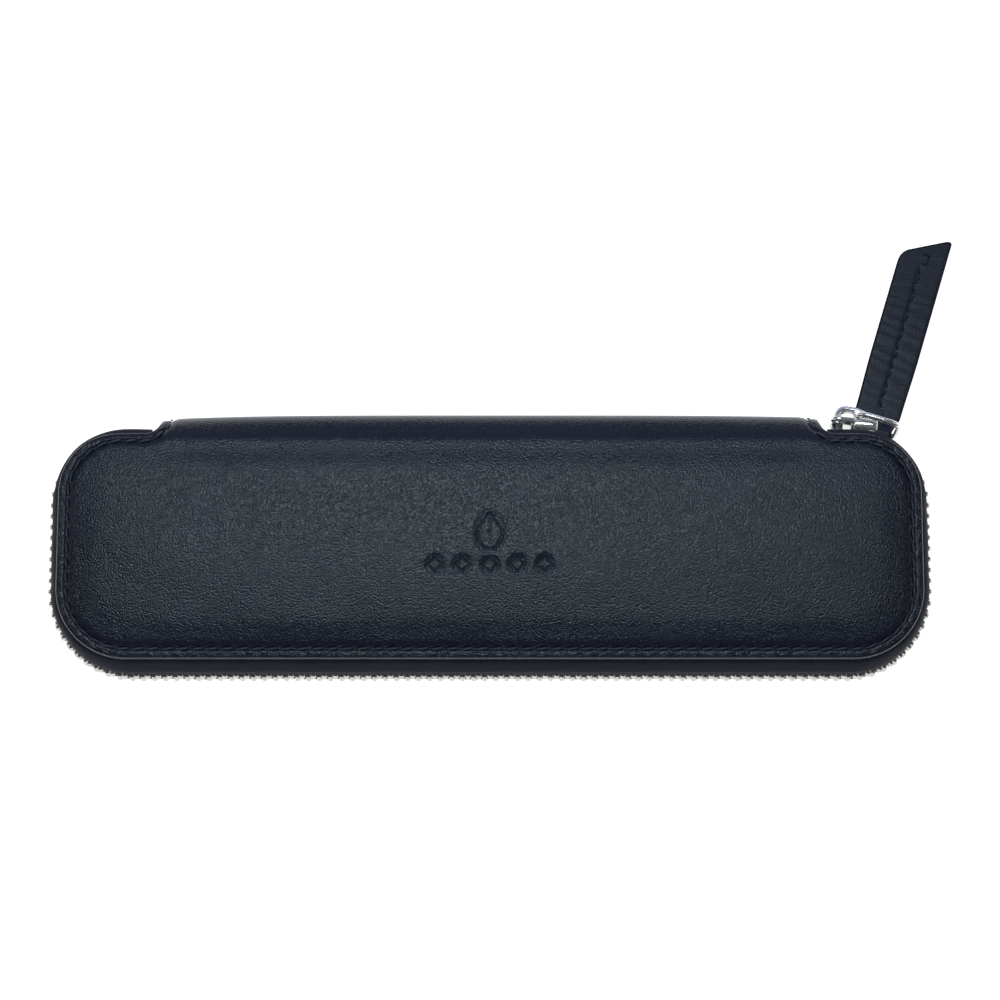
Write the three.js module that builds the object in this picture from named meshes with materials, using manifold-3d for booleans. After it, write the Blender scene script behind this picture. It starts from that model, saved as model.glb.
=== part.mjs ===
// Zip-around fountain pen case, millimetres, +Z up.
// +X runs along the case, +Y points to the spine, and the origin is the centre of the flat underside.
//
// The case is a clamshell of two padded covers joined by a stiffened spine. A metal zip runs round the
// other three sides and both back corners. Its slider waits at the right end of the spine, and a wire
// ring through the slider's bridge carries a folded strap that lies behind the case.

import * as THREE from 'three';
import { mergeVertices } from 'three/addons/utils/BufferGeometryUtils.js';
import Module from 'manifold-3d';

const wasm = await Module();
wasm.setup();

// ---------------------------------------------------------------- driving dimensions

const CASE_LENGTH = 180;
const CASE_DEPTH = 48.2;
const CASE_HEIGHT = 22;
const CORNER_RADIUS = 15;
const CORNER_STEPS = 8;

const LEATHER = 1.2;
const GAP = 0.3;

// heights of the layers of the upper cover; the lower cover is its mirror image
const MID_HEIGHT = CASE_HEIGHT / 2;
const LINING_LOW = 17.7;
const LINING_HIGH = 18.1;
const BOARD_LOW = 18.3;
const BOARD_HIGH = 19.0;
const PAD_LOW = 19.2;
const PAD_HIGH = 20.6;
const COVER_EDGE_TOP = 20.8;

// rolled edge: centre below the cover's rim, and half its width and height
const ROLL_HEIGHT = 19.85;
const ROLL_HALF_WIDTH = 0.75;
const ROLL_HALF_HEIGHT = 1;
const ROLL_SIDES = 8;

// insets of the layers from the case's outline
const LINING_INSET = 1.2;
const LEATHER_INSET = 1.8;
const BOARD_INSET = 4.6;
const PAD_INSET = 5;
const UPPER_CROWN_WIDTH = 12;
const LOWER_CROWN_WIDTH = 7;

// spine: outer face, outer bend radius and half length
const SPINE_Y = CASE_DEPTH / 2 + 3.5;
const SPINE_BEND = 4;
const SPINE_HALF = 70.5;
const SPINE_LINER_HALF = 69;
const SPINE_LINER_LOW = 4.6;
const SPINE_BOARD = 0.7;
const SPINE_LINING = 0.4;
const FOLD_Y = SPINE_Y - SPINE_BEND;

// zip: the chain stands on its edge outside the covers, and each half is a rail of its own
const CHAIN_OUT = 2.8;
const CHAIN_THICK = 2.4;
const CHAIN_HALF_HEIGHT = 3;
const CHAIN_SPLIT = 1.4;
const CHAIN_MID = CHAIN_OUT - CHAIN_THICK / 2;
const ZIP_RIGHT_END = 74;
const ZIP_LEFT_END = -72.6;
const TAPE_END = 70.9;
const TAPE = 0.7;
const STOP_LENGTH = 1.2;
const STOP_PROUD = 0.15;
const SLIDEWAY_END = 85;

// slider, in its own frame: x along the zip, y outwards, z up
const SLIDER_ANGLE = THREE.MathUtils.degToRad(5.2);
const SLIDER_BACK = -4.9;
const SLIDER_FRONT = 5;
const SLIDER_PLATE = 1;
const SLIDER_OUTER = 1.6;
const SLIDER_INNER = -2.3;
const SLIDER_WIDE = 4.7;
const SLIDER_NARROW = 3.8;
const BRIDGE_HEIGHT = 3.4;

// ring and strap
const WIRE = 1.25;
const RING_HINGE = new THREE.Vector2(0.4, 3.55);
const RING_ANGLE = THREE.MathUtils.degToRad(12);
const RING_WIDTH = 9.6;
const RING_LOW = 4.5;
const RING_HIGH = 16.3;
const RING_CORNER = 1.5;
const STRAP_LAYER = 1;
const STRAP_BORE = 0.95;
const STRAP_LENGTH = 46.8;
const STRAP_SLANT = 5.8;
const STRAP_FOLD_WIDTH = 7.5;
const STRAP_NECK_WIDTH = 8.6;
const STRAP_END_WIDTH = 10.3;
const STRAP_TILT = THREE.MathUtils.degToRad(4.16);

// interior
const LOOP_WIDTH = 36;
const LOOP_BAND = 0.9;
const LOOP_FOOT = CASE_HEIGHT - LINING_LOW + 0.2;
const LOOP_SPRING = 10.8;
const LOOP_CENTRE = 9.2;
const LOOP_HALF = 8.5;
const LOOP_RISE = 6;
const LOOP_FLANGE = 2.5;
const POCKET_HALF_LENGTH = 68;
const POCKET_FRONT = -19;
const POCKET_BACK = 6;
const POCKET_SHEET = 0.4;

const HALF_LENGTH = CASE_LENGTH / 2;
const HALF_DEPTH = CASE_DEPTH / 2;
const CORNER_X = HALF_LENGTH - CORNER_RADIUS;
const CORNER_Y = HALF_DEPTH - CORNER_RADIUS;

// ---------------------------------------------------------------- solids

function toSolid(geometry) {
  const bare = geometry.clone();
  bare.deleteAttribute('normal');
  bare.deleteAttribute('uv');
  const merged = mergeVertices(bare, 1e-4);
  return new wasm.Manifold(new wasm.Mesh({
    numProp: 3,
    vertProperties: new Float32Array(merged.attributes.position.array),
    triVerts: new Uint32Array(merged.index.array),
  }));
}

function toGeometry(solid) {
  const mesh = solid.getMesh();
  const geometry = new THREE.BufferGeometry();
  geometry.setAttribute('position', new THREE.BufferAttribute(new Float32Array(mesh.vertProperties), 3));
  geometry.setIndex(new THREE.BufferAttribute(new Uint32Array(mesh.triVerts), 1));
  geometry.computeVertexNormals();
  return geometry;
}

function box(low, high) {
  const geometry = new THREE.BoxGeometry(high[0] - low[0], high[1] - low[1], high[2] - low[2]);
  geometry.translate((low[0] + high[0]) / 2, (low[1] + high[1]) / 2, (low[2] + high[2]) / 2);
  return geometry;
}

function cut(geometry, ...tools) {
  const whole = tools.reduce((solid, tool) => solid.subtract(toSolid(tool)), toSolid(geometry));
  return toGeometry(whole);
}

function join(geometry, ...others) {
  const whole = others.reduce((solid, other) => solid.add(toSolid(other)), toSolid(geometry));
  return toGeometry(whole);
}

function common(geometry, other) {
  return toGeometry(toSolid(geometry).intersect(toSolid(other)));
}

// turns a piece of the upper cover into its twin on the lower cover
function mirrored(geometry) {
  const flipped = toSolid(geometry).mirror([0, 0, 1]);
  return toGeometry(flipped.translate([0, 0, CASE_HEIGHT]));
}

// stands a shape drawn in x and z upright, and extrudes it from yLow to yHigh
function upright(shape, yLow, yHigh, bevel = 0) {
  const depth = yHigh - yLow - 2 * bevel;
  const options = { depth, bevelEnabled: bevel > 0, curveSegments: 6 };
  if (bevel > 0) {
    Object.assign(options, { bevelThickness: bevel, bevelSize: bevel, bevelOffset: -bevel, bevelSegments: 1 });
  }
  const geometry = new THREE.ExtrudeGeometry(shape, options);
  geometry.rotateX(Math.PI / 2);
  geometry.translate(0, yHigh - bevel, 0);
  return geometry;
}

// ---------------------------------------------------------------- outline and edge path

function outline(inset) {
  const x = HALF_LENGTH - inset;
  const y = HALF_DEPTH - inset;
  const r = CORNER_RADIUS - inset;
  const shape = new THREE.Shape();
  shape.absarc(x - r, y - r, r, 0, Math.PI / 2);
  shape.absarc(r - x, y - r, r, Math.PI / 2, Math.PI);
  shape.absarc(r - x, r - y, r, Math.PI, 1.5 * Math.PI);
  shape.absarc(x - r, r - y, r, 1.5 * Math.PI, 2 * Math.PI);
  return shape;
}

function plate(inset, low, high) {
  const options = { depth: high - low, bevelEnabled: false, curveSegments: CORNER_STEPS };
  return new THREE.ExtrudeGeometry(outline(inset), options).translate(0, 0, low);
}

// a plate whose upper face rises from its rim to a flat crown as a quarter ellipse
function crowned(inset, low, high, crown, width) {
  const options = {
    depth: high - low,
    bevelThickness: crown,
    bevelSize: width,
    bevelOffset: -width,
    bevelSegments: 4,
    curveSegments: CORNER_STEPS,
  };
  const lens = new THREE.ExtrudeGeometry(outline(inset), options).translate(0, 0, low - crown);
  const below = box([-HALF_LENGTH, -HALF_DEPTH, low - 2 * crown - 1], [HALF_LENGTH, HALF_DEPTH, low]);
  return cut(lens, below);
}

// the case's outline from one side of the spine round to the other, as stations with tangents
class EdgePath extends THREE.Curve {
  constructor(startX, endX) {
    super();
    this.stations = [{ point: new THREE.Vector3(startX, HALF_DEPTH, 0), tangent: new THREE.Vector3(1, 0, 0) }];
    const corners = [[CORNER_X, CORNER_Y, 90], [CORNER_X, -CORNER_Y, 0], [-CORNER_X, -CORNER_Y, -90]];
    corners.push([-CORNER_X, CORNER_Y, -180]);
    for (const [x, y, startAngle] of corners) {
      for (let step = 0; step <= CORNER_STEPS; step += 1) {
        const angle = THREE.MathUtils.degToRad(startAngle - (90 * step) / CORNER_STEPS);
        const outward = new THREE.Vector3(Math.cos(angle), Math.sin(angle), 0);
        const point = outward.clone().multiplyScalar(CORNER_RADIUS).add(new THREE.Vector3(x, y, 0));
        this.stations.push({ point, tangent: new THREE.Vector3(outward.y, -outward.x, 0) });
      }
    }
    this.stations.push({ point: new THREE.Vector3(endX, HALF_DEPTH, 0), tangent: new THREE.Vector3(1, 0, 0) });
  }

  at(u) {
    return this.stations[Math.round(u * (this.stations.length - 1))];
  }

  getPoint(u, target = new THREE.Vector3()) {
    return target.copy(this.at(u).point);
  }

  getPointAt(u, target) {
    return this.getPoint(u, target);
  }

  getTangentAt(u, target = new THREE.Vector3()) {
    return target.copy(this.at(u).tangent);
  }
}

// sweeps a section, given as [distance outside the outline, height] pairs, along the edge
function alongEdge(section, startX, endX) {
  const shape = new THREE.Shape(section.map(([out, height]) => new THREE.Vector2(-height, out)));
  const path = new EdgePath(startX, endX);
  return new THREE.ExtrudeGeometry(shape, { steps: path.stations.length - 1, extrudePath: path });
}

// ---------------------------------------------------------------- covers

// leather skin of a cover, with the tongue that runs to the fold
function coverLeather(crownWidth) {
  const crown = CASE_HEIGHT - COVER_EDGE_TOP;
  const foldLow = COVER_EDGE_TOP - LEATHER;
  const tongueRoot = FOLD_Y - 4;
  const outer = crowned(LEATHER_INSET, foldLow, CASE_HEIGHT, crown, crownWidth);
  const inner = crowned(LEATHER_INSET - GAP, PAD_LOW - LEATHER, CASE_HEIGHT - LEATHER, crown, crownWidth);
  const tongue = box([-SPINE_HALF, tongueRoot, foldLow], [SPINE_HALF, FOLD_Y - GAP, COVER_EDGE_TOP]);
  const tongueSide = box([-CASE_LENGTH, tongueRoot, 0], [CASE_LENGTH, CASE_DEPTH, CASE_HEIGHT]);
  return cut(join(outer, tongue), cut(inner, tongueSide));
}

function coverPad(crownWidth) {
  const crown = PAD_HIGH - PAD_LOW - 0.5;
  return crowned(PAD_INSET, PAD_LOW, PAD_HIGH, crown, Math.min(crownWidth, CORNER_RADIUS - PAD_INSET - 1));
}

// rolled leather bead round the stitched edge of a cover, open at the spine
function edgeRoll() {
  const section = [];
  for (let side = 0; side < ROLL_SIDES; side += 1) {
    const angle = (2 * Math.PI * (side + 0.5)) / ROLL_SIDES;
    const out = ROLL_HALF_WIDTH * (Math.cos(angle) - 1);
    section.push([out, ROLL_HEIGHT + ROLL_HALF_HEIGHT * Math.sin(angle)]);
  }
  return alongEdge(section, TAPE_END, -TAPE_END);
}

// zip tape: sewn in under the board's rim, it bulges outwards and drops to the chain
function zipTape() {
  const chainTop = MID_HEIGHT + CHAIN_HALF_HEIGHT + 0.2;
  const half = TAPE / 2;
  const section = [
    [CHAIN_MID + half, chainTop],
    [CHAIN_MID + half - 0.3, 15.9],
    [0.7, 17.7],
    [-0.4, 18.75],
    [-4, 18.75],
    [-4, 18.35],
    [-0.7, 18.35],
    [-0.1, 17.5],
    [CHAIN_MID - half - 0.3, 15.7],
    [CHAIN_MID - half, chainTop],
  ];
  return alongEdge(section, TAPE_END, -TAPE_END);
}

// upper half of the chain
function zipChain() {
  const low = MID_HEIGHT + CHAIN_SPLIT / 2;
  const high = MID_HEIGHT + CHAIN_HALF_HEIGHT;
  const inner = CHAIN_OUT - CHAIN_THICK;
  const section = [[inner, low], [CHAIN_OUT, low], [CHAIN_OUT, high], [inner, high]];
  return alongEdge(section, ZIP_RIGHT_END, ZIP_LEFT_END);
}

// clears the upper tape and chain round the slider's resting place, so that the lid lifts past it
function slideway() {
  return box([SPINE_HALF - 1, CORNER_Y, MID_HEIGHT - 1], [SLIDEWAY_END, SPINE_Y + 3, BOARD_LOW]);
}

// metal clip across one half of the chain, starting at x
function chainStop(x, low, high) {
  const mid = HALF_DEPTH + CHAIN_MID;
  const half = CHAIN_THICK / 2 + STOP_PROUD;
  return box([x, mid - half, low], [x + STOP_LENGTH, mid + half, high]);
}

// ---------------------------------------------------------------- spine

// upright strip that bends over towards both covers, up to the folds
function spineLeather() {
  const low = CASE_HEIGHT - COVER_EDGE_TOP;
  const high = COVER_EDGE_TOP;
  const shape = new THREE.Shape();
  const inner = SPINE_BEND - LEATHER;
  shape.moveTo(FOLD_Y, low);
  shape.absarc(FOLD_Y, low + SPINE_BEND, SPINE_BEND, -Math.PI / 2, 0);
  shape.absarc(FOLD_Y, high - SPINE_BEND, SPINE_BEND, 0, Math.PI / 2);
  shape.lineTo(FOLD_Y, high - LEATHER);
  shape.absarc(FOLD_Y, high - SPINE_BEND, inner, Math.PI / 2, 0, true);
  shape.absarc(FOLD_Y, low + SPINE_BEND, inner, 0, -Math.PI / 2, true);
  return alongX(shape, -SPINE_HALF, SPINE_HALF);
}

// extrudes a shape drawn in y and z along x
function alongX(shape, xLow, xHigh) {
  const options = { depth: xHigh - xLow, bevelEnabled: false, curveSegments: 6 };
  const geometry = new THREE.ExtrudeGeometry(shape, options);
  const turn = new THREE.Matrix4().set(0, 0, 1, xLow, 1, 0, 0, 0, 0, 1, 0, 0, 0, 0, 0, 1);
  return geometry.applyMatrix4(turn);
}

// ---------------------------------------------------------------- interior

// one band sewn down at both ends and in the middle, which makes a loop for each pen
function penLoops() {
  const inner = LOOP_HALF - LOOP_BAND;
  const innerRise = LOOP_RISE - LOOP_BAND;
  const outerEnd = LOOP_CENTRE + LOOP_HALF + LOOP_FLANGE;
  const foot = LOOP_FOOT + LOOP_BAND;
  const shape = new THREE.Shape();
  shape.moveTo(-outerEnd, LOOP_FOOT);
  for (const centre of [LOOP_CENTRE, -LOOP_CENTRE]) {
    if (centre > 0) {
      shape.lineTo(-LOOP_CENTRE - inner, LOOP_FOOT);
      shape.absellipse(-LOOP_CENTRE, LOOP_SPRING, inner, innerRise, Math.PI, 0, true);
      shape.lineTo(-LOOP_CENTRE + inner, LOOP_FOOT);
      shape.lineTo(LOOP_CENTRE - inner, LOOP_FOOT);
      shape.absellipse(LOOP_CENTRE, LOOP_SPRING, inner, innerRise, Math.PI, 0, true);
      shape.lineTo(LOOP_CENTRE + inner, LOOP_FOOT);
      shape.lineTo(outerEnd, LOOP_FOOT);
      shape.lineTo(outerEnd, foot);
    }
    shape.lineTo(centre + LOOP_HALF, foot);
    shape.absellipse(centre, LOOP_SPRING, LOOP_HALF, LOOP_RISE, 0, Math.PI);
    shape.lineTo(centre - LOOP_HALF, foot);
  }
  shape.lineTo(-outerEnd, foot);
  return alongX(shape, -LOOP_WIDTH / 2, LOOP_WIDTH / 2);
}

// ---------------------------------------------------------------- slider, ring and strap

function sliderBody() {
  const face = new THREE.Shape([
    new THREE.Vector2(SLIDER_BACK, MID_HEIGHT - SLIDER_WIDE + 1),
    new THREE.Vector2(SLIDER_BACK + 1, MID_HEIGHT - SLIDER_WIDE),
    new THREE.Vector2(SLIDER_BACK + 2.6, MID_HEIGHT - SLIDER_WIDE),
    new THREE.Vector2(0, MID_HEIGHT - SLIDER_NARROW),
    new THREE.Vector2(SLIDER_FRONT - 0.6, MID_HEIGHT - SLIDER_NARROW),
    new THREE.Vector2(SLIDER_FRONT, MID_HEIGHT - SLIDER_NARROW + 0.6),
    new THREE.Vector2(SLIDER_FRONT, MID_HEIGHT + SLIDER_NARROW - 0.6),
    new THREE.Vector2(SLIDER_FRONT - 0.6, MID_HEIGHT + SLIDER_NARROW),
    new THREE.Vector2(0, MID_HEIGHT + SLIDER_NARROW),
    new THREE.Vector2(SLIDER_BACK + 2.6, MID_HEIGHT + SLIDER_WIDE),
    new THREE.Vector2(SLIDER_BACK + 1, MID_HEIGHT + SLIDER_WIDE),
    new THREE.Vector2(SLIDER_BACK, MID_HEIGHT + SLIDER_WIDE - 1),
  ]);
  const outer = upright(face, SLIDER_OUTER, SLIDER_OUTER + SLIDER_PLATE);
  const inner = upright(face, SLIDER_INNER - SLIDER_PLATE, SLIDER_INNER);
  const wedgeHalf = CHAIN_SPLIT / 2 - GAP;
  const wedge = box(
    [SLIDER_BACK + 0.4, SLIDER_INNER - 0.2, MID_HEIGHT - wedgeHalf],
    [SLIDER_BACK + 3, SLIDER_OUTER + 0.2, MID_HEIGHT + wedgeHalf],
  );
  const flanges = [-1, 1].map((side) => {
    const near = MID_HEIGHT + side * (CHAIN_HALF_HEIGHT + 0.3);
    const far = MID_HEIGHT + side * SLIDER_NARROW;
    return box(
      [0, 0.9, Math.min(near, far)],
      [SLIDER_FRONT - 0.6, SLIDER_OUTER + 0.2, Math.max(near, far)],
    );
  });
  return join(outer, inner, wedge, ...flanges);
}

// lopsided arch that stands on the slider's outer plate and holds the ring
function sliderBridge() {
  const foot = SLIDER_OUTER + SLIDER_PLATE + 0.1;
  const shape = new THREE.Shape();
  shape.moveTo(-4.3, foot);
  shape.bezierCurveTo(-4.1, 4.8, -3.2, 5.9, -1.5, 5.9);
  shape.bezierCurveTo(1.6, 5.9, 4.4, 4.6, 5, foot);
  shape.lineTo(3.4, foot);
  shape.bezierCurveTo(2.8, 3.7, 0.8, 4.5, -1.3, 4.5);
  shape.bezierCurveTo(-2.1, 4.5, -2.7, 3.9, -2.8, foot);
  const bevel = 0.25;
  const geometry = new THREE.ExtrudeGeometry(shape, {
    depth: BRIDGE_HEIGHT - 2 * bevel,
    bevelThickness: bevel,
    bevelSize: bevel,
    bevelOffset: -bevel,
    bevelSegments: 1,
    curveSegments: 6,
  });
  return geometry.translate(0, 0, MID_HEIGHT - BRIDGE_HEIGHT / 2 + bevel);
}

function roundedLoop(left, right, low, high, radius, target) {
  target.moveTo(left + radius, low);
  target.lineTo(right - radius, low);
  target.absarc(right - radius, low + radius, radius, -Math.PI / 2, 0);
  target.absarc(right - radius, high - radius, radius, 0, Math.PI / 2);
  target.absarc(left + radius, high - radius, radius, Math.PI / 2, Math.PI);
  target.absarc(left + radius, low + radius, radius, Math.PI, 1.5 * Math.PI);
  return target;
}

// ring of round wire in the x-z plane; its left side stands in the slider's bridge
function pullRing() {
  const half = WIRE / 2;
  const outer = RING_CORNER + half;
  const inner = RING_CORNER - half;
  const shape = roundedLoop(-half, RING_WIDTH + half, RING_LOW - half, RING_HIGH + half, outer, new THREE.Shape());
  const hole = roundedLoop(half, RING_WIDTH - half, RING_LOW + half, RING_HIGH - half, inner, new THREE.Path());
  shape.holes.push(hole);
  return upright(shape, -half, half, 0.36);
}

// strap folded round the ring's lower side; it reaches out along +y from the wire at its origin
function pullStrap() {
  const outer = STRAP_BORE + STRAP_LAYER;
  const side = new THREE.Shape();
  side.moveTo(STRAP_LENGTH, -STRAP_LAYER);
  side.lineTo(STRAP_LENGTH, STRAP_LAYER);
  side.lineTo(4, STRAP_LAYER);
  side.absarc(0, 0, outer, 0.75, 2 * Math.PI - 0.75);
  side.lineTo(4, -STRAP_LAYER);
  const bore = new THREE.Path();
  bore.absarc(0, 0, STRAP_BORE, 0, 2 * Math.PI);
  side.holes.push(bore);
  const reach = STRAP_END_WIDTH;
  const folded = alongX(side, -reach, reach);

  const half = [STRAP_FOLD_WIDTH / 2, STRAP_NECK_WIDTH / 2, STRAP_END_WIDTH / 2];
  const slope = STRAP_SLANT / STRAP_END_WIDTH;
  const plan = new THREE.Shape();
  plan.moveTo(-half[0], -outer - 1);
  plan.lineTo(half[0], -outer - 1);
  plan.lineTo(half[0], outer);
  plan.lineTo(half[1], outer + 1.6);
  plan.lineTo(half[2], STRAP_LENGTH / 2);
  plan.lineTo(half[2], STRAP_LENGTH - 1.5);
  plan.quadraticCurveTo(half[2], STRAP_LENGTH, half[2] - 1.5, STRAP_LENGTH - 1.5 * slope);
  plan.lineTo(1.5 - half[2], STRAP_LENGTH - STRAP_SLANT + 1.5 * slope);
  plan.quadraticCurveTo(-half[2], STRAP_LENGTH - STRAP_SLANT, -half[2], STRAP_LENGTH - STRAP_SLANT - 2);
  plan.lineTo(-half[2], STRAP_LENGTH / 2);
  plan.lineTo(-half[1], outer + 1.6);
  plan.lineTo(-half[0], outer);
  const cutter = new THREE.ExtrudeGeometry(plan, { depth: 3 * outer, bevelEnabled: false, curveSegments: 5 });
  return common(folded, cutter.translate(0, 0, -1.5 * outer));
}

// ---------------------------------------------------------------- materials and assembly

function finish(color, roughness, metalness = 0) {
  return new THREE.MeshStandardMaterial({ color, roughness, metalness });
}

const NAVY_LEATHER = finish(0x232a38, 0.5);
const SPINE_LEATHER = finish(0x262a3c, 0.48);
const LINING = finish(0x2b3243, 0.8);
const FOAM = finish(0x565a60, 0.95);
const BOARD = finish(0x6d675c, 0.9);
const ZIP_TAPE = finish(0x1c2233, 0.85);
const NICKEL = finish(0xc9c6bf, 0.25, 1);

const penCase = new THREE.Group();

function add(name, geometry, material, parent = penCase) {
  const mesh = new THREE.Mesh(geometry, material.clone());
  mesh.name = name;
  parent.add(mesh);
  return mesh;
}

// upper cover
add('upper_cover_leather', coverLeather(UPPER_CROWN_WIDTH), NAVY_LEATHER);
add('upper_cover_padding', coverPad(UPPER_CROWN_WIDTH), FOAM);
add('upper_cover_board', plate(BOARD_INSET, BOARD_LOW, BOARD_HIGH), BOARD);
add('upper_cover_lining', plate(LINING_INSET, LINING_LOW, LINING_HIGH), LINING);
add('upper_edge_roll', edgeRoll(), NAVY_LEATHER);
add('upper_zip_tape', cut(zipTape(), slideway()), ZIP_TAPE);
add('upper_zip_chain', cut(zipChain(), slideway()), NICKEL);
const pocketTop = LINING_LOW - 0.2;
const pocketLow = [-POCKET_HALF_LENGTH, POCKET_FRONT, pocketTop - POCKET_SHEET];
add('upper_slip_pocket', box(pocketLow, [POCKET_HALF_LENGTH, POCKET_BACK, pocketTop]), LINING);

// lower cover
add('lower_cover_leather', mirrored(coverLeather(LOWER_CROWN_WIDTH)), NAVY_LEATHER);
add('lower_cover_padding', mirrored(coverPad(LOWER_CROWN_WIDTH)), FOAM);
add('lower_cover_board', mirrored(plate(BOARD_INSET, BOARD_LOW, BOARD_HIGH)), BOARD);
add('lower_cover_lining', mirrored(plate(LINING_INSET, LINING_LOW, LINING_HIGH)), LINING);
add('lower_edge_roll', mirrored(edgeRoll()), NAVY_LEATHER);
add('lower_zip_tape', mirrored(zipTape()), ZIP_TAPE);
add('lower_zip_chain', mirrored(zipChain()), NICKEL);
add('pen_loops', penLoops(), LINING);

// stops crimped on the ends of the chain
const chainLow = MID_HEIGHT - CHAIN_HALF_HEIGHT;
const chainHigh = MID_HEIGHT + CHAIN_HALF_HEIGHT;
const split = CHAIN_SPLIT / 2;
const closedStopX = ZIP_RIGHT_END - STOP_LENGTH - GAP;
const openStopX = ZIP_LEFT_END + GAP;
add('closed_end_stop', chainStop(closedStopX, chainLow, MID_HEIGHT - split), NICKEL);
add('lower_open_end_stop', chainStop(openStopX, chainLow, MID_HEIGHT - split), NICKEL);
add('upper_open_end_stop', chainStop(openStopX, MID_HEIGHT + split, chainHigh), NICKEL);

// spine
function spineLayer(outerY, thickness) {
  const low = [-SPINE_LINER_HALF, outerY - thickness, SPINE_LINER_LOW];
  return box(low, [SPINE_LINER_HALF, outerY, CASE_HEIGHT - SPINE_LINER_LOW]);
}
const boardY = SPINE_Y - LEATHER - 0.2;
add('spine_leather', spineLeather(), SPINE_LEATHER);
add('spine_board', spineLayer(boardY, SPINE_BOARD), BOARD);
add('spine_lining', spineLayer(boardY - SPINE_BOARD - 0.2, SPINE_LINING), LINING);

// slider with its bridge, on the curve of the back right corner
const slider = new THREE.Group();
const trackRadius = CORNER_RADIUS + CHAIN_MID;
slider.position.set(
  CORNER_X + trackRadius * Math.sin(SLIDER_ANGLE),
  CORNER_Y + trackRadius * Math.cos(SLIDER_ANGLE),
  0,
);
slider.rotation.z = -SLIDER_ANGLE;
penCase.add(slider);
add('slider_body', sliderBody(), NICKEL, slider);
add('slider_bridge', sliderBridge(), NICKEL, slider);

// ring, turned on the side that stands in the bridge
const ring = new THREE.Group();
ring.position.set(RING_HINGE.x, RING_HINGE.y, 0);
ring.rotation.z = -RING_ANGLE;
slider.add(ring);
add('pull_ring', pullRing(), NICKEL, ring);

// strap, tilted down from the ring until its end lies on the table
const strap = new THREE.Group();
strap.position.set(RING_WIDTH / 2, 0, RING_LOW);
strap.rotation.x = -STRAP_TILT;
ring.add(strap);
add('pull_strap', pullStrap(), NAVY_LEATHER, strap);

export default penCase;
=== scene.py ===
"""Looks of a zip-around fountain pen case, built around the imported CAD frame."""
import math

import bmesh
import bpy
import numpy as np
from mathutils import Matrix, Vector
from mathutils.geometry import delaunay_2d_cdt


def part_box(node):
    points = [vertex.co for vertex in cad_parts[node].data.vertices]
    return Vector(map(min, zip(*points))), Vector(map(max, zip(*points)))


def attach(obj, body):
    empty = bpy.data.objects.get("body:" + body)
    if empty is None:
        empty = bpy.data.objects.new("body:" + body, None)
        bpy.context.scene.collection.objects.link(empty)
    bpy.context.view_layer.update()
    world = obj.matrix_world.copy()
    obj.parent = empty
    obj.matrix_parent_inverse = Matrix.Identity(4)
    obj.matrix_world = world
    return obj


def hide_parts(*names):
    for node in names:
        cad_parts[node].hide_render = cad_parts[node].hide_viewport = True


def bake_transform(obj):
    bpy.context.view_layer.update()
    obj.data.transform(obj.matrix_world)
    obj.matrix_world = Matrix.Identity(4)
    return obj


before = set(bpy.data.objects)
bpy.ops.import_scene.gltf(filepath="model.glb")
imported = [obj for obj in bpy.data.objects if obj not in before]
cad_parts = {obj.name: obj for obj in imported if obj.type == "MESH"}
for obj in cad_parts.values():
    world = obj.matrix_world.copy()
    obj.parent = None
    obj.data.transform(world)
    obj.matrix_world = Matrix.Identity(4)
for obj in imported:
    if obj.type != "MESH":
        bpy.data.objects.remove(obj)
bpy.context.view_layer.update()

MM = 0.001
# side, its body, and whether it is the upper one
SIDES = (("upper", "upper_cover", True), ("lower", "lower_case", False))


def mm_box(node):
    low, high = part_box(node)
    return np.array(low) / MM, np.array(high) / MM


# -------- sizes in millimetres, from the frame

CHAIN_OUT = 2.8
CHAIN_THICK = 2.4
CORNER_R = 15.0
CHAIN_BOX = mm_box("lower_zip_chain")
HALF_X = CHAIN_BOX[1][0] - CHAIN_OUT
HALF_Y = -CHAIN_BOX[0][1] - CHAIN_OUT
CORNER_X = HALF_X - CORNER_R
CORNER_Y = HALF_Y - CORNER_R
TOP = mm_box("upper_cover_leather")[1][2]
MID = TOP / 2
SPINE_Y = mm_box("spine_leather")[1][1]
SPINE_END = mm_box("spine_leather")[1][0]

# The cover's skin: a base surface, with the heights of bead, stitch groove and padding above it.
BASE_Z = TOP - 1.6
PAD_H = 0.45
CROWN_H = TOP - BASE_Z - PAD_H
SKIN_UNDER = -1.9
GROOVE_D = 2.1
ROLL_R = 6.0
ROLL_START = SPINE_Y - PAD_H - ROLL_R
ROLL_END = ROLL_START + ROLL_R * math.pi / 2
SKIN_END = ROLL_END + BASE_Z - ROLL_R - MID
FILLET_R = 1.8
BACK_R = 13.2
STITCH_PITCH = 3.1
STITCH_SLANT = 0.13

# Rings of the skin's edge: how far inside the cut edge, and the height over the base surface.
BEAD_UNDER = [(1.6, SKIN_UNDER), (1.0, -1.9), (0.55, -1.8), (0.2, -1.5), (0.03, -1.1)]
BEAD_OVER = [(0.0, -0.75), (0.03, -0.42), (0.12, -0.16), (0.3, 0.02), (0.55, 0.08), (0.9, 0.1), (1.25, 0.15)]
GROOVE = [(1.55, 0.13), (1.78, 0.0), (1.95, -0.14), (GROOVE_D, -0.2), (2.28, -0.14), (2.5, 0.02), (2.8, 0.16)]
SHOULDER = [(3.2, 0.28), (3.7, 0.36), (4.3, 0.41)]
EDGE_RINGS = BEAD_UNDER + BEAD_OVER + GROOVE + SHOULDER


def smooth(t):
    t = np.clip(t, 0, 1)
    return t * t * (3 - 2 * t)


def unit(vectors):
    return vectors / np.linalg.norm(vectors, axis=-1, keepdims=True)


def run_length(line):
    """The length along an open line, at each of its points."""
    return np.concatenate([[0], np.cumsum(np.hypot(*np.diff(line, axis=0).T))])


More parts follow.
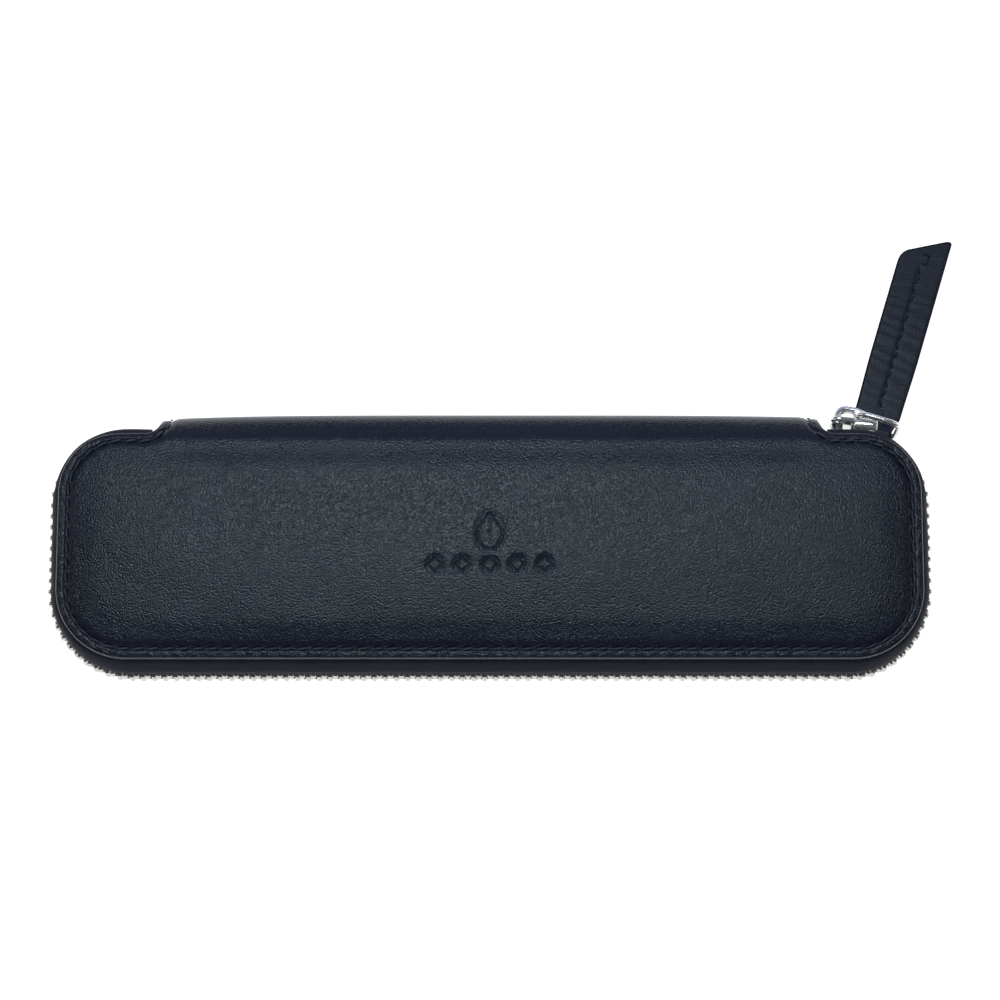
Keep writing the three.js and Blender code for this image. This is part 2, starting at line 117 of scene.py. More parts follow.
def along_line(at, length, line):
    """The two coordinates of a line at one length along it, or at many."""
    return np.array([np.interp(at, length, line[:, i]) for i in (0, 1)])


# -------- mesh helpers

def link_new(name, data):
    made = bpy.data.objects.new(name, data)
    bpy.context.scene.collection.objects.link(made)
    return made


def new_piece(name, verts_mm, faces, material, lay=None):
    """Links a smooth-shaded mesh; lay gives each point its place on the flat cloth, for a weave to follow."""
    mesh = bpy.data.meshes.new(name)
    mesh.from_pydata([tuple(v) for v in np.asarray(verts_mm, float) * MM], [], faces)
    mesh.validate()
    mesh.update()
    mesh.polygons.foreach_set("use_smooth", [True] * len(mesh.polygons))
    mesh.materials.append(material)
    if lay is not None:
        flat = mesh.attributes.new("lay", "FLOAT_VECTOR", "POINT")
        flat.data.foreach_set("vector", np.asarray(lay, np.float32).ravel())
    return link_new(name, mesh)


def mended(piece):
    """Turns every face of a piece outwards."""
    bm = bmesh.new()
    bm.from_mesh(piece.data)
    bmesh.ops.recalc_face_normals(bm, faces=bm.faces)
    bm.to_mesh(piece.data)
    bm.free()
    return piece


def joined(name, bodies, material):
    """One piece of several closed bodies, each given as (verts, faces)."""
    verts, faces = [], []
    for body_verts, body_faces in bodies:
        start = len(verts)
        verts.extend(np.asarray(body_verts, float))
        faces.extend([tuple(start + i for i in face) for face in body_faces])
    return new_piece(name, verts, faces, material)


def loft(rings, closed=False):
    """Quads between rings of the same number of points, with a cap at each end; returns (verts, faces)."""
    rings = np.asarray(rings, float)
    count, around = rings.shape[:2]
    faces = []
    for i in range(count if closed else count - 1):
        j = (i + 1) % count
        for k in range(around):
            m = (k + 1) % around
            faces.append((i * around + k, i * around + m, j * around + m, j * around + k))
    if not closed:
        faces.append(tuple(reversed(range(around))))
        faces.append(tuple((count - 1) * around + k for k in range(around)))
    return rings.reshape(-1, 3), faces


def lofted(name, rings, material, closed=False):
    return mended(new_piece(name, *loft(rings, closed), material))


def capsule(centre, along, up, length, width, height, steps=8, around=8, arch=0.0):
    """A thread-like body whose ends taper; arch lifts its middle."""
    thinnest = 0.12
    along = unit(along)
    side = unit(np.cross(up, along))
    up = np.cross(along, side)
    angles = 2 * np.pi * np.arange(around) / around
    rings = []
    for i in range(steps + 1):
        u = -1 + 2 * i / steps
        fat = max(thinnest, (1 - abs(u) ** 3)) ** 0.5
        middle = centre + along * (u * length / 2) + up * arch * (1 - u * u)
        ring = middle + np.outer(np.cos(angles) * width / 2 * fat, side)
        rings.append(ring + np.outer(np.sin(angles) * height / 2 * fat, up))
    return loft(rings)


# -------- materials

class Look:
    """A material being put together. Names of inputs are given with _ for a space."""

    def __init__(self, name, **fixed):
        """fixed sets the shader's inputs that are the same all over."""
        self.mat = bpy.data.materials.new(name)
        self.mat.use_nodes = True
        self.links = self.mat.node_tree.links
        self.shader = self.mat.node_tree.nodes["Principled BSDF"]
        for key, value in fixed.items():
            self.shader.inputs[key.replace("_", " ")].default_value = value

    def drive(self, **sources):
        """Links outputs to the shader's inputs, and returns the finished material."""
        for key, source in sources.items():
            self.links.new(source, self.shader.inputs[key.replace("_", " ")])
        return self.mat

    def add(self, kind, feeds, **values):
        """A shader node of one kind; feeds maps its inputs to the outputs that drive them."""
        made = self.mat.node_tree.nodes.new("ShaderNode" + kind)
        for key, value in values.items():
            socket = key.replace("_", " ")
            if socket in made.inputs:
                made.inputs[socket].default_value = value
            else:
                setattr(made, key, value)
        for key, source in feeds.items():
            self.links.new(source, made.inputs[key])
        return made

    def place(self, scale=(1, 1, 1)):
        """Object coordinates in millimetres, times scale."""
        where = self.add("TexCoord", {}).outputs["Object"]
        per_mm = [s / MM for s in scale]
        return self.add("Mapping", {"Vector": where}, Scale=per_mm).outputs["Vector"]

    def noise(self, where, scale, detail, roughness=0.5, distortion=0.0, out="Fac"):
        made = self.add("TexNoise", {"Vector": where}, Scale=scale, Detail=detail,
                        Roughness=roughness, Distortion=distortion)
        return made.outputs[out]

    def ramp(self, source, low, high):
        """Two colours, each given with the place on the ramp where it starts."""
        made = self.add("ValToRGB", {"Fac": source})
        for element, (at, color) in zip(made.color_ramp.elements, (low, high)):
            element.position = at
            element.color = (*color, 1)
        return made.outputs["Color"]

    def remap(self, source, low, high):
        return self.add("MapRange", {"Value": source}, To_Min=low, To_Max=high).outputs["Result"]

    def mix(self, kind, first, second, fac=1.0):
        made = self.add("MixRGB", {"Color1": first, "Color2": second}, blend_type=kind, Fac=fac)
        return made.outputs["Color"]

    def math(self, operation, *terms):
        """A sum or product of two terms, each an output or a number."""
        made = self.add("Math", {}, operation=operation)
        for socket, term in zip(made.inputs, terms):
            if isinstance(term, float):
                socket.default_value = term
            else:
                self.links.new(term, socket)
        return made.outputs[0]

    def bump(self, height, distance_mm, strength=1.0, below=None):
        feeds = {"Height": height}
        if below is not None:
            feeds["Normal"] = below
        made = self.add("Bump", feeds, Strength=strength, Distance=distance_mm * MM)
        return made.outputs["Normal"]


def leather(name, dark, light, grain=0.034, pebble=2.8, rough=(0.2, 0.3), creases=0.04,
            crease_scale=(1, 1, 1)):
    """Pebbled leather: domed grain cells, finer pores, slow creases, and a slightly uneven dye. The cells'
    domes are painted lighter and their valleys darker: the grain's own tone together with painted light and
    shade.
    """
    look = Look(name, Specular_IOR_Level=0.38)
    where = look.place()
    bent = look.mix("ADD", where, look.noise(where, 0.9, 3.0, out="Color"), 0.35)
    cells = look.add("TexVoronoi", {"Vector": bent}, feature="SMOOTH_F1", Scale=pebble,
                     Smoothness=0.25).outputs["Distance"]
    pores = look.noise(where, 4.2, 3.0, 0.6)
    patches = look.noise(where, 0.045, 4.0, 0.55)
    folds = look.noise(look.place(crease_scale), 0.16, 5.0, 0.62, 0.6)
    tone = look.ramp(patches, (0.32, dark), (0.7, light))
    # Painted light and shade on the grain: the colour is raised on the cells' domes and lowered in the
    # valleys between them, following the bump's heights.
    shade = look.remap(cells, 1.06, 0.74)
    creased = look.bump(folds, creases, 0.5)
    grained = look.bump(look.math("MULTIPLY", cells, -1.0), grain * 2, 1.0, creased)
    return look.drive(Base_Color=look.mix("MULTIPLY", tone, shade),
                      Roughness=look.remap(pores, *rough),
                      Normal=look.bump(pores, grain, 0.6, grained))


def thread_material(name, dark, light):
    """Twisted thread, with diagonal strands."""
    look = Look(name, Roughness=0.5)
    twist = look.add("TexWave", {"Vector": look.place()}, Scale=2.2, Distortion=0.4,
                     bands_direction="DIAGONAL").outputs["Fac"]
    return look.drive(Base_Color=look.ramp(twist, (0.2, dark), (0.8, light)), Normal=look.bump(twist, 0.05))


def zip_tape_material():
    """Woven polyester tape: short floats in offset rows, with a soft sheen."""
    look = Look("zip_tape", Roughness=0.8, Sheen_Weight=0.06, Sheen_Roughness=0.5, Specular_IOR_Level=0.2)
    where = look.add("Attribute", {}, attribute_name="lay").outputs["Vector"]
    weave = look.add("TexBrick", {"Vector": where}, offset=0.5, Scale=1.0, Mortar_Size=0.07,
                     Mortar_Smooth=1.0, Brick_Width=0.62, Row_Height=0.34,
                     Color1=(0.0052, 0.0066, 0.0165, 1), Color2=(0.0072, 0.0088, 0.0210, 1),
                     Mortar=(0.0030, 0.0035, 0.0075, 1))
    fuzz = look.noise(where, 5.0, 3.0)
    worn = look.mix("MULTIPLY", weave.outputs["Color"], look.remap(fuzz, 0.75, 1.3))
    woven = look.bump(look.math("SUBTRACT", 1.0, weave.outputs["Fac"]), 0.07)
    return look.drive(Base_Color=worn, Normal=look.bump(fuzz, 0.03, 0.6, woven))


def nickel_material(name, tint, rough, metallic):
    """Plated metal with a faint haze, fine scratches and slightly uneven polish."""
    look = Look(name, Metallic=metallic)
    cloud = look.noise(look.place(), 0.5, 4.0)
    scratch = look.noise(look.place((9.0, 9.0, 0.6)), 1.0, 4.0, 0.7)
    darker = tuple(c * 0.86 for c in tint)
    polish = look.remap(look.math("MULTIPLY", cloud, scratch), rough * 0.6, rough * 1.9)
    return look.drive(Base_Color=look.ramp(cloud, (0.3, darker), (0.7, tint)), Roughness=polish,
                      Normal=look.bump(scratch, 0.006))


def suede_material(name, dark, light):
    """Microsuede: a fine nap that lies in cloudy patches."""
    look = Look(name, Roughness=0.95, Specular_IOR_Level=0.15, Sheen_Weight=0.35, Sheen_Roughness=0.45)
    where = look.place()
    nap = look.noise(where, 6.0, 4.0, 0.7)
    brushed = look.noise(where, 0.08, 5.0, 0.6, 0.8)
    tone = look.ramp(look.math("MULTIPLY", nap, brushed), (0.12, dark), (0.42, light))
    uneven = look.bump(brushed, 0.4, 0.4)
    return look.drive(Base_Color=tone, Normal=look.bump(nap, 0.08, 0.8, uneven))


def edge_paint_material():
    """The strap's painted cut edge."""
    look = Look("edge_paint", Roughness=0.75, Specular_IOR_Level=0.12)
    lumps = look.noise(look.place(), 2.0, 3.0)
    tone = look.ramp(lumps, (0.3, (0.002, 0.002, 0.003)), (0.7, (0.005, 0.005, 0.007)))
    return look.drive(Base_Color=tone, Normal=look.bump(lumps, 0.05))


def floor_material():
    """A plain pale floor that glows a little, so that it reads as white."""
    look = Look("studio_floor", Roughness=0.9, Specular_IOR_Level=0.1, Emission_Color=(1, 1, 1, 1),
                Emission_Strength=0.95)
    speckle = look.noise(look.place(), 0.4, 2.0)
    return look.drive(Base_Color=look.ramp(speckle, (0.3, (0.86, 0.86, 0.86)), (0.7, (0.9, 0.9, 0.9))))


NAVY_DARK = (0.0070, 0.0100, 0.0205)
NAVY_LIGHT = (0.0110, 0.0148, 0.0275)
COVER_LEATHER = leather("cover_leather", NAVY_DARK, NAVY_LIGHT)
STRAP_LEATHER = leather("strap_leather", (0.0080, 0.0128, 0.0280), (0.0118, 0.0180, 0.0370), grain=0.014,
                        pebble=2.4, rough=(0.36, 0.48), creases=0.3, crease_scale=(0.35, 2.2, 1))
LOOP_LEATHER = leather("loop_leather", NAVY_DARK, NAVY_LIGHT, grain=0.018, pebble=1.7, rough=(0.5, 0.65))
THREAD = thread_material("navy_thread", (0.020, 0.024, 0.036), (0.055, 0.063, 0.085))
STRAP_THREAD = thread_material("black_thread", (0.002, 0.0025, 0.005), (0.009, 0.011, 0.018))
TAPE = zip_tape_material()
TOOTH_METAL = nickel_material("tooth_nickel", (0.52, 0.50, 0.465), 0.24, 1.0)
# The slider's metal is near white and only 0.8 metallic, so part of its colour is a plain diffuse white. This
# is a painted reflection of the lights laid over the nickel's own tint.
SLIDER_NICKEL_PAINTED_REFLECTION = nickel_material("slider_nickel_painted_reflection", (0.93, 0.92, 0.89), 0.17, 0.8)
LINING = suede_material("navy_suede", (0.018, 0.024, 0.042), (0.042, 0.052, 0.082))
EDGE_PAINT = edge_paint_material()


# -------- camera, floor and light

CAMERA_AIM = (2.1, 9.4, 20)
CAMERA_ELEVATION = math.radians(78)
CAMERA_DISTANCE = 700
CAMERA_LENS = 121
FLOOR_HALF = 3000
FLOOR_DROP = 0.02
WORLD_GLOW = 0.085
# name, place, aim, size, watts and tint
LIGHTS = [
    ("top_softbox", (-30, 186, 640), (-30, 20, 0), (400, 88), 1.3, (0.78, 0.90, 1.0)),
    ("front_fill", (-100, -700, 260), (0, 0, 0), (900, 200), 2.2, (0.80, 0.88, 1.0)),
    ("back_fill", (0, 620, 400), (0, 60, 10), (900, 500), 0.8, (0.42, 0.56, 1.0)),
    ("left_fill", (-760, 60, 260), (0, 0, 0), (200, 600), 0.6, (1, 1, 1)),
    ("right_fill", (760, 60, 260), (0, 0, 0), (200, 600), 0.5, (1, 1, 1)),
]


def make_camera():
    data = bpy.data.cameras.new("camera")
    data.sensor_width = 36
    data.lens = CAMERA_LENS
    data.clip_start = 0.01
    camera = link_new("camera", data)
    back = Vector((0, -math.cos(CAMERA_ELEVATION), math.sin(CAMERA_ELEVATION)))
    camera.location = Vector(CAMERA_AIM) * MM + back * CAMERA_DISTANCE * MM
    camera.rotation_euler = (-back).to_track_quat("-Z", "Y").to_euler()
    bpy.context.scene.camera = camera


def make_light(name, place, aim, size, watts, tint):
    """An area light that the camera doesn't see."""
    data = bpy.data.lights.new(name, "AREA")
    data.shape = "RECTANGLE"
    data.size, data.size_y = size[0] * MM, size[1] * MM
    data.energy = watts
    data.color = tint
    light = link_new(name, data)
    light.location = Vector(place) * MM
    light.visible_camera = False
    toward = Vector(aim) * MM - light.location
    light.rotation_euler = toward.to_track_quat("-Z", "Y").to_euler()


def make_stage():
    make_camera()
    signs = ((-1, -1), (1, -1), (1, 1), (-1, 1))
    corners = [(a * FLOOR_HALF, b * FLOOR_HALF, 0) for a, b in signs]
    floor = new_piece("floor", corners, [(0, 1, 2, 3)], floor_material())
    floor.location.z = -FLOOR_DROP * MM
    for light in LIGHTS:
        make_light(*light)
    world = bpy.data.worlds.new("studio")
    world.use_nodes = True
    background = world.node_tree.nodes["Background"]
    background.inputs["Color"].default_value = (1, 1, 1, 1)
    background.inputs["Strength"].default_value = WORLD_GLOW
    bpy.context.scene.world = world
    bpy.context.scene.view_settings.view_transform = "Standard"


make_stage()


# -------- leather skins of the covers and spine

# The spine's leather stands a little proud in its middle and narrows to its lower edge.
BOW = 1.15
BOW_START = ROLL_START + 3
BOW_RUN = 6
BOW_END_DROP = (0.9, 0.5)
SPINE_TAPER = 1.4
# Beside the spine the cover falls slightly before the leather rolls over.
FALL_DEPTH = 0.35
FALL_START = 15.5
FALL_RUN = 8
FALL_RETURN = 7
FALL_FADE = 9


def arc(cx, cy, r, start, end, count):
    angles = np.radians(np.linspace(start, end, count + 1))
    return np.c_[cx + r * np.cos(angles), cy + r * np.sin(angles)]


def straight(a, b, count):
    t = np.linspace(0, 1, count + 1)[:, None]
    return np.array(a) * (1 - t) + np.array(b) * t


def skin_outline(d):
    """The leather's cut edge, d inside it, from one side of the spine strip to the other, in flat (x, v)."""
    x, y = HALF_X - d, HALF_Y - d
    back_x, back_y = HALF_X - BACK_R, HALF_Y - BACK_R
    fillet_x, fillet_y = SPINE_END + FILLET_R, HALF_Y + FILLET_R
    right = [
        straight((SPINE_END - d, SKIN_END), (SPINE_END - d, fillet_y), 18),
        arc(fillet_x, fillet_y, FILLET_R + d, 180, 270, 10),
        straight((fillet_x, y), (back_x, y), 7),
        arc(back_x, back_y, BACK_R - d, 90, 0, 40),
        straight((x, back_y), (x, -CORNER_Y), 38),
        arc(CORNER_X, -CORNER_Y, CORNER_R - d, 0, -90, 44),
        straight((CORNER_X, -y), (0, -y), 150),
    ]
    half = np.vstack([right[0][:1]] + [part[1:] for part in right])
    return np.vstack([half, half[:-1][::-1] * [-1, 1]])


def cover_distance(x, v):
    """How far (x, v) lies inside the cover's rounded rectangle."""
    r = np.where(v > 0, BACK_R, CORNER_R)
    qx = np.abs(x) - HALF_X + r
    qy = np.abs(v) - HALF_Y + r
    outside = np.hypot(np.maximum(qx, 0), np.maximum(qy, 0)) + np.minimum(np.maximum(qx, qy), 0)
    return r - outside


def ripple(x, v):
    """Slow unevenness of the padding and the leather over it."""
    slow = np.sin(x * 0.11 + 0.7 * np.sin(v * 0.16)) * np.sin(v * 0.21 + 0.05 * x + 1.3)
    quick = np.sin(x * 0.31 + 2.1 * np.sin(v * 0.07 + 1)) * np.sin(v * 0.43 - 0.09 * x)
    return 0.045 * slow + 0.018 * quick


def flip(points, upper):
    """Points of the upper half as they are, or mirrored to the lower half."""
    points = np.array(points, float)
    if not upper:
        points[..., 2] = TOP - points[..., 2]
    return points


def skin_point(x, v, h, upper):
    """Puts flat leather coordinates onto the case: level over the cover, rolled over, then down the spine."""
    x, v, h = np.broadcast_arrays(x, v, h)
    strip = smooth((SPINE_END + 2 - np.abs(x)) / FALL_FADE)
    down = smooth((v - FALL_START) / FALL_RUN) * (1 - smooth((v - FALL_START - FALL_RUN) / FALL_RETURN))
    end_drop = np.where(x > 0, BOW_END_DROP[1], BOW_END_DROP[0]) * np.abs(x / SPINE_END) ** 4
    out = h + smooth((v - BOW_START) / BOW_RUN) * (BOW - end_drop) - FALL_DEPTH * strip * down
    taper = SPINE_TAPER * smooth((v - HALF_Y + 1.5) / 6) * x / SPINE_END
    angle = np.clip((v - ROLL_START) / ROLL_R, 0, math.pi / 2)
    y = np.where(v < ROLL_START, v, ROLL_START + ROLL_R * np.sin(angle))
    z = BASE_Z - ROLL_R * (1 - np.cos(angle)) - np.maximum(v - ROLL_END, 0)
    return flip(np.stack([x - taper, y + out * np.sin(angle), z + out * np.cos(angle)], axis=-1), upper)


# The leather over the foam is simulated once as a cloth sheet, pinned along the seam and pushed up.
# Cloth behaves better in larger units, so the sheet is simulated at SIM_UNIT units a millimetre.
SIM_UNIT = 0.01
SIM_STEP = 2.0
SIM_FRAMES = 30
SIM_X = np.linspace(-(HALF_X - 1), HALF_X - 1, int(2 * HALF_X / SIM_STEP) + 1)
SIM_V = np.linspace(-(HALF_Y - 1), HALF_Y - 1, int(2 * HALF_Y / SIM_STEP) + 1)
SIM_SETTINGS = {"quality": 8, "mass": 0.3, "tension_stiffness": 40, "compression_stiffness": 40,
                "shear_stiffness": 10, "bending_stiffness": 20, "air_damping": 2, "use_pressure": True,
                "uniform_pressure_force": 2, "vertex_group_mass": "seam"}
# Where the heights are taken as full: most of the middle, but not its highest wave.
SIM_FULL_PERCENTILE = 97


def simulated_padding():
    """Heights of the puffed sheet on the grid SIM_V by SIM_X, from 0 at the seam to about 1 in the middle."""
    gx, gv = np.meshgrid(SIM_X, SIM_V)
    rows, columns = gx.shape
    inside = cover_distance(gx, gv) > GROOVE_D
    verts = np.stack([gx, gv, np.zeros_like(gx)], axis=-1).reshape(-1, 3) * SIM_UNIT
    faces = [(r * columns + c, r * columns + c + 1, (r + 1) * columns + c + 1, (r + 1) * columns + c)
             for r in range(rows - 1) for c in range(columns - 1)]
    mesh = bpy.data.meshes.new("padding_sheet")
    mesh.from_pydata([tuple(v) for v in verts], [], faces)
    sheet = link_new("padding_sheet", mesh)
    pins = sheet.vertex_groups.new(name="seam")
    pins.add([int(i) for i in np.where(~inside.ravel())[0]], 1.0, "REPLACE")
    cloth = sheet.modifiers.new("cloth", "CLOTH")
    for key, value in SIM_SETTINGS.items():
        setattr(cloth.settings, key, value)
    cloth.settings.effector_weights.gravity = 0
    cloth.point_cache.frame_start = 1
    cloth.point_cache.frame_end = SIM_FRAMES
    scene = bpy.context.scene
    for frame_number in range(1, SIM_FRAMES + 1):
        scene.frame_set(frame_number)
    puffed = sheet.evaluated_get(bpy.context.evaluated_depsgraph_get()).to_mesh()
    height = np.array([v.co.z for v in puffed.vertices]).reshape(rows, columns)
    scene.frame_set(1)
    bpy.data.objects.remove(sheet)
    height = height * np.sign(height[rows // 2].mean() or 1)
    return np.clip(height / np.percentile(height, SIM_FULL_PERCENTILE), 0, 1.15)


PADDING = simulated_padding()


def spline_weights(t):
    """The four weights of a cubic B-spline at t between its two middle points."""
    return [(1 - t) ** 3 / 6, (3 * t ** 3 - 6 * t ** 2 + 4) / 6,
            (-3 * t ** 3 + 3 * t ** 2 + 3 * t + 1) / 6, t ** 3 / 6]


def padding_at(x, v):
    """The simulated sheet's height at any place, as a smooth spline through its grid."""
    column = np.clip((x - SIM_X[0]) / (SIM_X[1] - SIM_X[0]), 0, len(SIM_X) - 1.001)
    row = np.clip((v - SIM_V[0]) / (SIM_V[1] - SIM_V[0]), 0, len(SIM_V) - 1.001)
    c, r = column.astype(int), row.astype(int)
    height = 0
    for i, down in enumerate(spline_weights(row - r)):
        for j, along in enumerate(spline_weights(column - c)):
            near_r = np.clip(r + i - 1, 0, len(SIM_V) - 1)
            near_c = np.clip(c + j - 1, 0, len(SIM_X) - 1)
            height = height + down * along * PADDING[near_r, near_c]
    return height


def crown_height(x, v, upper):
    """How far the padding lifts the leather. The lower cover rests on the table, so its middle is flat."""
    lift = padding_at(x, v) * smooth((cover_distance(x, v) - GROOVE_D) / 6.0)
    if not upper:
        lift = np.minimum(1.0, 1.15 * np.tanh(2.0 * lift))
    return CROWN_H * np.minimum(lift, 1.08)


# The motif, pressed into the middle of the upper cover.
NIB_TIP, NIB_BASE = 6.4, -1.2
NIB_HALF = 2.5
NIB_HOLE_V = 2.4
LOZENGE_PITCH = 5.7
LOZENGE_V = -4.6
LOZENGE_HALF = (1.5, 1.4)
LINE_DEPTH = 0.17
HALO_DEPTH = 0.24
HALO_REACH = 1.5


def motif_depth(x, v):
    """A plain pen nib over a row of five small lozenges."""
    def press(distance, half_width):
        return smooth((half_width + 0.09 - distance) / 0.2)

    u = (NIB_TIP - v) / (NIB_TIP - NIB_BASE)
    half = NIB_HALF * np.sin(np.pi * 0.84 * np.clip(u, 0, 1)) ** 1.25
    side = np.where((u > 0) & (u < 1), np.abs(np.abs(x) - half) * 0.8, np.inf)
    foot = np.maximum(np.abs(x) - half, np.abs(v - NIB_BASE))
    slit = np.where((u > 0.08) & (u < 0.5), np.abs(x), np.inf)
    hole = np.hypot(x, v - NIB_HOLE_V)
    column = np.clip(np.round(x / LOZENGE_PITCH), -2, 2) * LOZENGE_PITCH
    lozenge = np.abs(np.abs(x - column) / LOZENGE_HALF[0] + np.abs(v - LOZENGE_V) / LOZENGE_HALF[1] - 1)
    lines = np.maximum.reduce([press(np.minimum(side, foot), 0.2), press(slit, 0.1), press(hole, 0.42),
                               press(lozenge, 0.16)])
    around_nib = np.hypot(x, (v - 2.2) / 1.4) - NIB_HALF
    around_lozenge = np.hypot(x - column, v - LOZENGE_V) - 1.25
    halo = np.clip(np.minimum(around_nib, around_lozenge), 0, None)
    return LINE_DEPTH * lines + HALO_DEPTH * smooth(1 - halo / HALO_REACH)


# Steps of the grids inside the rings, and the tight grid under the motif.
GRID_STEP = 1.7
COVER_STEP, ROLL_STEP, SPINE_STEP = 1.3, 0.45, 0.9
MOTIF_STEP = 0.17
MOTIF_HALF, MOTIF_LOW, MOTIF_HIGH = 14.5, -7.4, 8.0
MOTIF_GAP = 0.6
END_GAP = 0.3


def lattice(x, v):
    gx, gv = np.meshgrid(x, v)
    return np.c_[gx.ravel(), gv.ravel()]


def inner_grid(upper):
    """Points inside the skin's rings: a loose grid, tighter over the roll and under the pressed motif."""
    v_lines = np.concatenate([np.arange(-HALF_Y, ROLL_START - 0.6, COVER_STEP),
                              np.arange(ROLL_START - 0.5, ROLL_END + 0.4, ROLL_STEP),
                              np.arange(ROLL_END + 0.9, SKIN_END - END_GAP, SPINE_STEP)])
    grid = lattice(np.arange(-HALF_X, HALF_X + 0.1, GRID_STEP), v_lines)
    if upper:
        fine = lattice(np.arange(-MOTIF_HALF, MOTIF_HALF + 0.01, MOTIF_STEP),
                       np.arange(MOTIF_LOW, MOTIF_HIGH + 0.01, MOTIF_STEP))
        x, v = grid.T
        beside = (v < MOTIF_LOW - MOTIF_GAP) | (v > MOTIF_HIGH + MOTIF_GAP)
        grid = np.vstack([grid[beside | (np.abs(x) > MOTIF_HALF + MOTIF_GAP)], fine])
    edge = skin_outline(0)
    near = np.array([np.hypot(*(edge - point).T).min() for point in grid])
    x, v = grid.T
    inside = (cover_distance(x, v) > 0) | (np.abs(x) < SPINE_END) & (v > CORNER_Y)
    return grid[inside & (near > EDGE_RINGS[-1][0] + 0.5) & (v < SKIN_END - END_GAP)]


def edge_height(d, h, phase):
    """The height of an edge ring, pinched by each stitch in the groove and swelling beside it."""
    pinch = math.exp(-((d - GROOVE_D) / 0.55) ** 2) if h > -0.8 else 0
    swell = math.exp(-((d - 1.35) / 0.4) ** 2) if h > -0.5 else 0
    return h + (0.045 * swell + 0.07 * pinch) * np.cos(phase)


def seam_run():
    """The stitch line, the length along it at each point, and the number of stitches."""
    seam = skin_outline(GROOVE_D)
    length = run_length(seam)
    return seam, length, int(round(length[-1] / STITCH_PITCH))


def make_skin(name, upper):
    """Bands of quads round the edge, triangles inside them, an under side and an end wall."""
    _, length, count = seam_run()
    phase = 2 * np.pi * length * count / length[-1]
    verts, rings = [], []

    def push(points):
        start = len(verts)
        verts.extend(points)
        return np.arange(start, start + len(points))

    for d, h in EDGE_RINGS:
        x, v = skin_outline(d).T
        height = edge_height(d, h, phase) + (crown_height(x, v, upper) if d > GROOVE_D else 0)
        rings.append(push(skin_point(x, v, height, upper)))

    inner = skin_outline(EDGE_RINGS[-1][0])
    n = len(inner)
    end_x = np.arange(-SPINE_END + 6, SPINE_END - 5.9, GRID_STEP)
    boundary = np.vstack([inner, np.c_[end_x, np.full(len(end_x), SKIN_END)]])
    points = [Vector((float(a), float(b))) for a, b in np.vstack([boundary, inner_grid(upper)])]
    loop = list(range(len(boundary)))
    out, _, triangles, origin, _, _ = delaunay_2d_cdt(points, [], [loop], 1, 1e-5)
    flat = np.array([[p.x, p.y] for p in out])
    x, v = flat.T
    height = PAD_H - 0.03 + crown_height(x, v, upper) + ripple(x, v) * smooth(cover_distance(x, v) / 8)
    if upper:
        height = height - motif_depth(x, v)
    else:
        height = np.minimum(height, PAD_H + CROWN_H)

    on_edge = {source: index for index, sources in enumerate(origin) for source in sources
               if source < len(boundary)}
    top = np.full(len(flat), -1)
    for source in range(n):
        top[on_edge[source]] = rings[-1][source]
    fresh = np.where(top < 0)[0]
    top[fresh] = push(skin_point(x, v, height, upper)[fresh])
    under = push(skin_point(x, v, SKIN_UNDER, upper))

    rings.insert(0, [under[on_edge[i]] for i in range(n)])
    faces = []
    for a, b in zip(rings[:-1], rings[1:]):
        faces += [(a[i], a[i + 1], b[i + 1], b[i]) for i in range(n - 1)]
    for triangle in triangles:
        a, b, c = flat[list(triangle)]
        turn = (b[0] - a[0]) * (c[1] - a[1]) - (b[1] - a[1]) * (c[0] - a[0])
        corners = list(triangle) if turn > 0 else list(triangle)[::-1]
        faces.append([top[i] for i in corners][::-1])
        faces.append([under[i] for i in corners])
    wall = [on_edge[i] for i in (n - 1, *range(n, len(boundary)), 0)]
    faces += [(top[a], top[b], under[b], under[a]) for a, b in zip(wall[:-1], wall[1:])]
    faces.append([ring[0] for ring in rings])
    faces.append([ring[-1] for ring in rings])
    return mended(new_piece(name, verts, [tuple(int(i) for i in face) for face in faces], COVER_LEATHER))


def make_seam(name, upper):
    """The stitches in the skin's groove."""
    seam, length, count = seam_run()
    marks = (np.arange(count) + 0.5) * length[-1] / count
    here = along_line(marks, length, seam)
    ahead = along_line(marks + 0.2, length, seam)
    stitches = []
    for a, b, c in zip(skin_point(*here, 0.02, upper), skin_point(*ahead, 0.02, upper),
                       skin_point(*here, 1.02, upper)):
        along = unit(b - a)
        across = np.cross(c - a, along)
        stitches.append(capsule(a, along + STITCH_SLANT * across, c - a, 2.4, 0.5, 0.46, arch=0.12))
    return joined(name, stitches, THREAD)


# Two places, diagonally apart, in the rounded corner between spine and cover; the loop below works them out
# for each side but does not use them.
FOLD_LOW = (SPINE_Y - 0.8, TOP - 4.0)
FOLD_HIGH = (SPINE_Y - 2.9, TOP - 1.9)
for side, cover, is_upper in SIDES:
    skin = make_skin(f"{side}_skin", is_upper)
    seam = make_seam(f"{side}_stitching", is_upper)
    start, end = (tuple(flip([0, *place], is_upper) * MM) for place in (FOLD_LOW, FOLD_HIGH))
    for part in (skin, seam):
        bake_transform(part)
        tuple(start)
        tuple(end)
    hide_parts(f"{side}_cover_leather", f"{side}_cover_padding", f"{side}_cover_board",
                f"{side}_edge_roll")
    if is_upper:
        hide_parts("spine_leather")


# -------- the rim, and what is swept along it

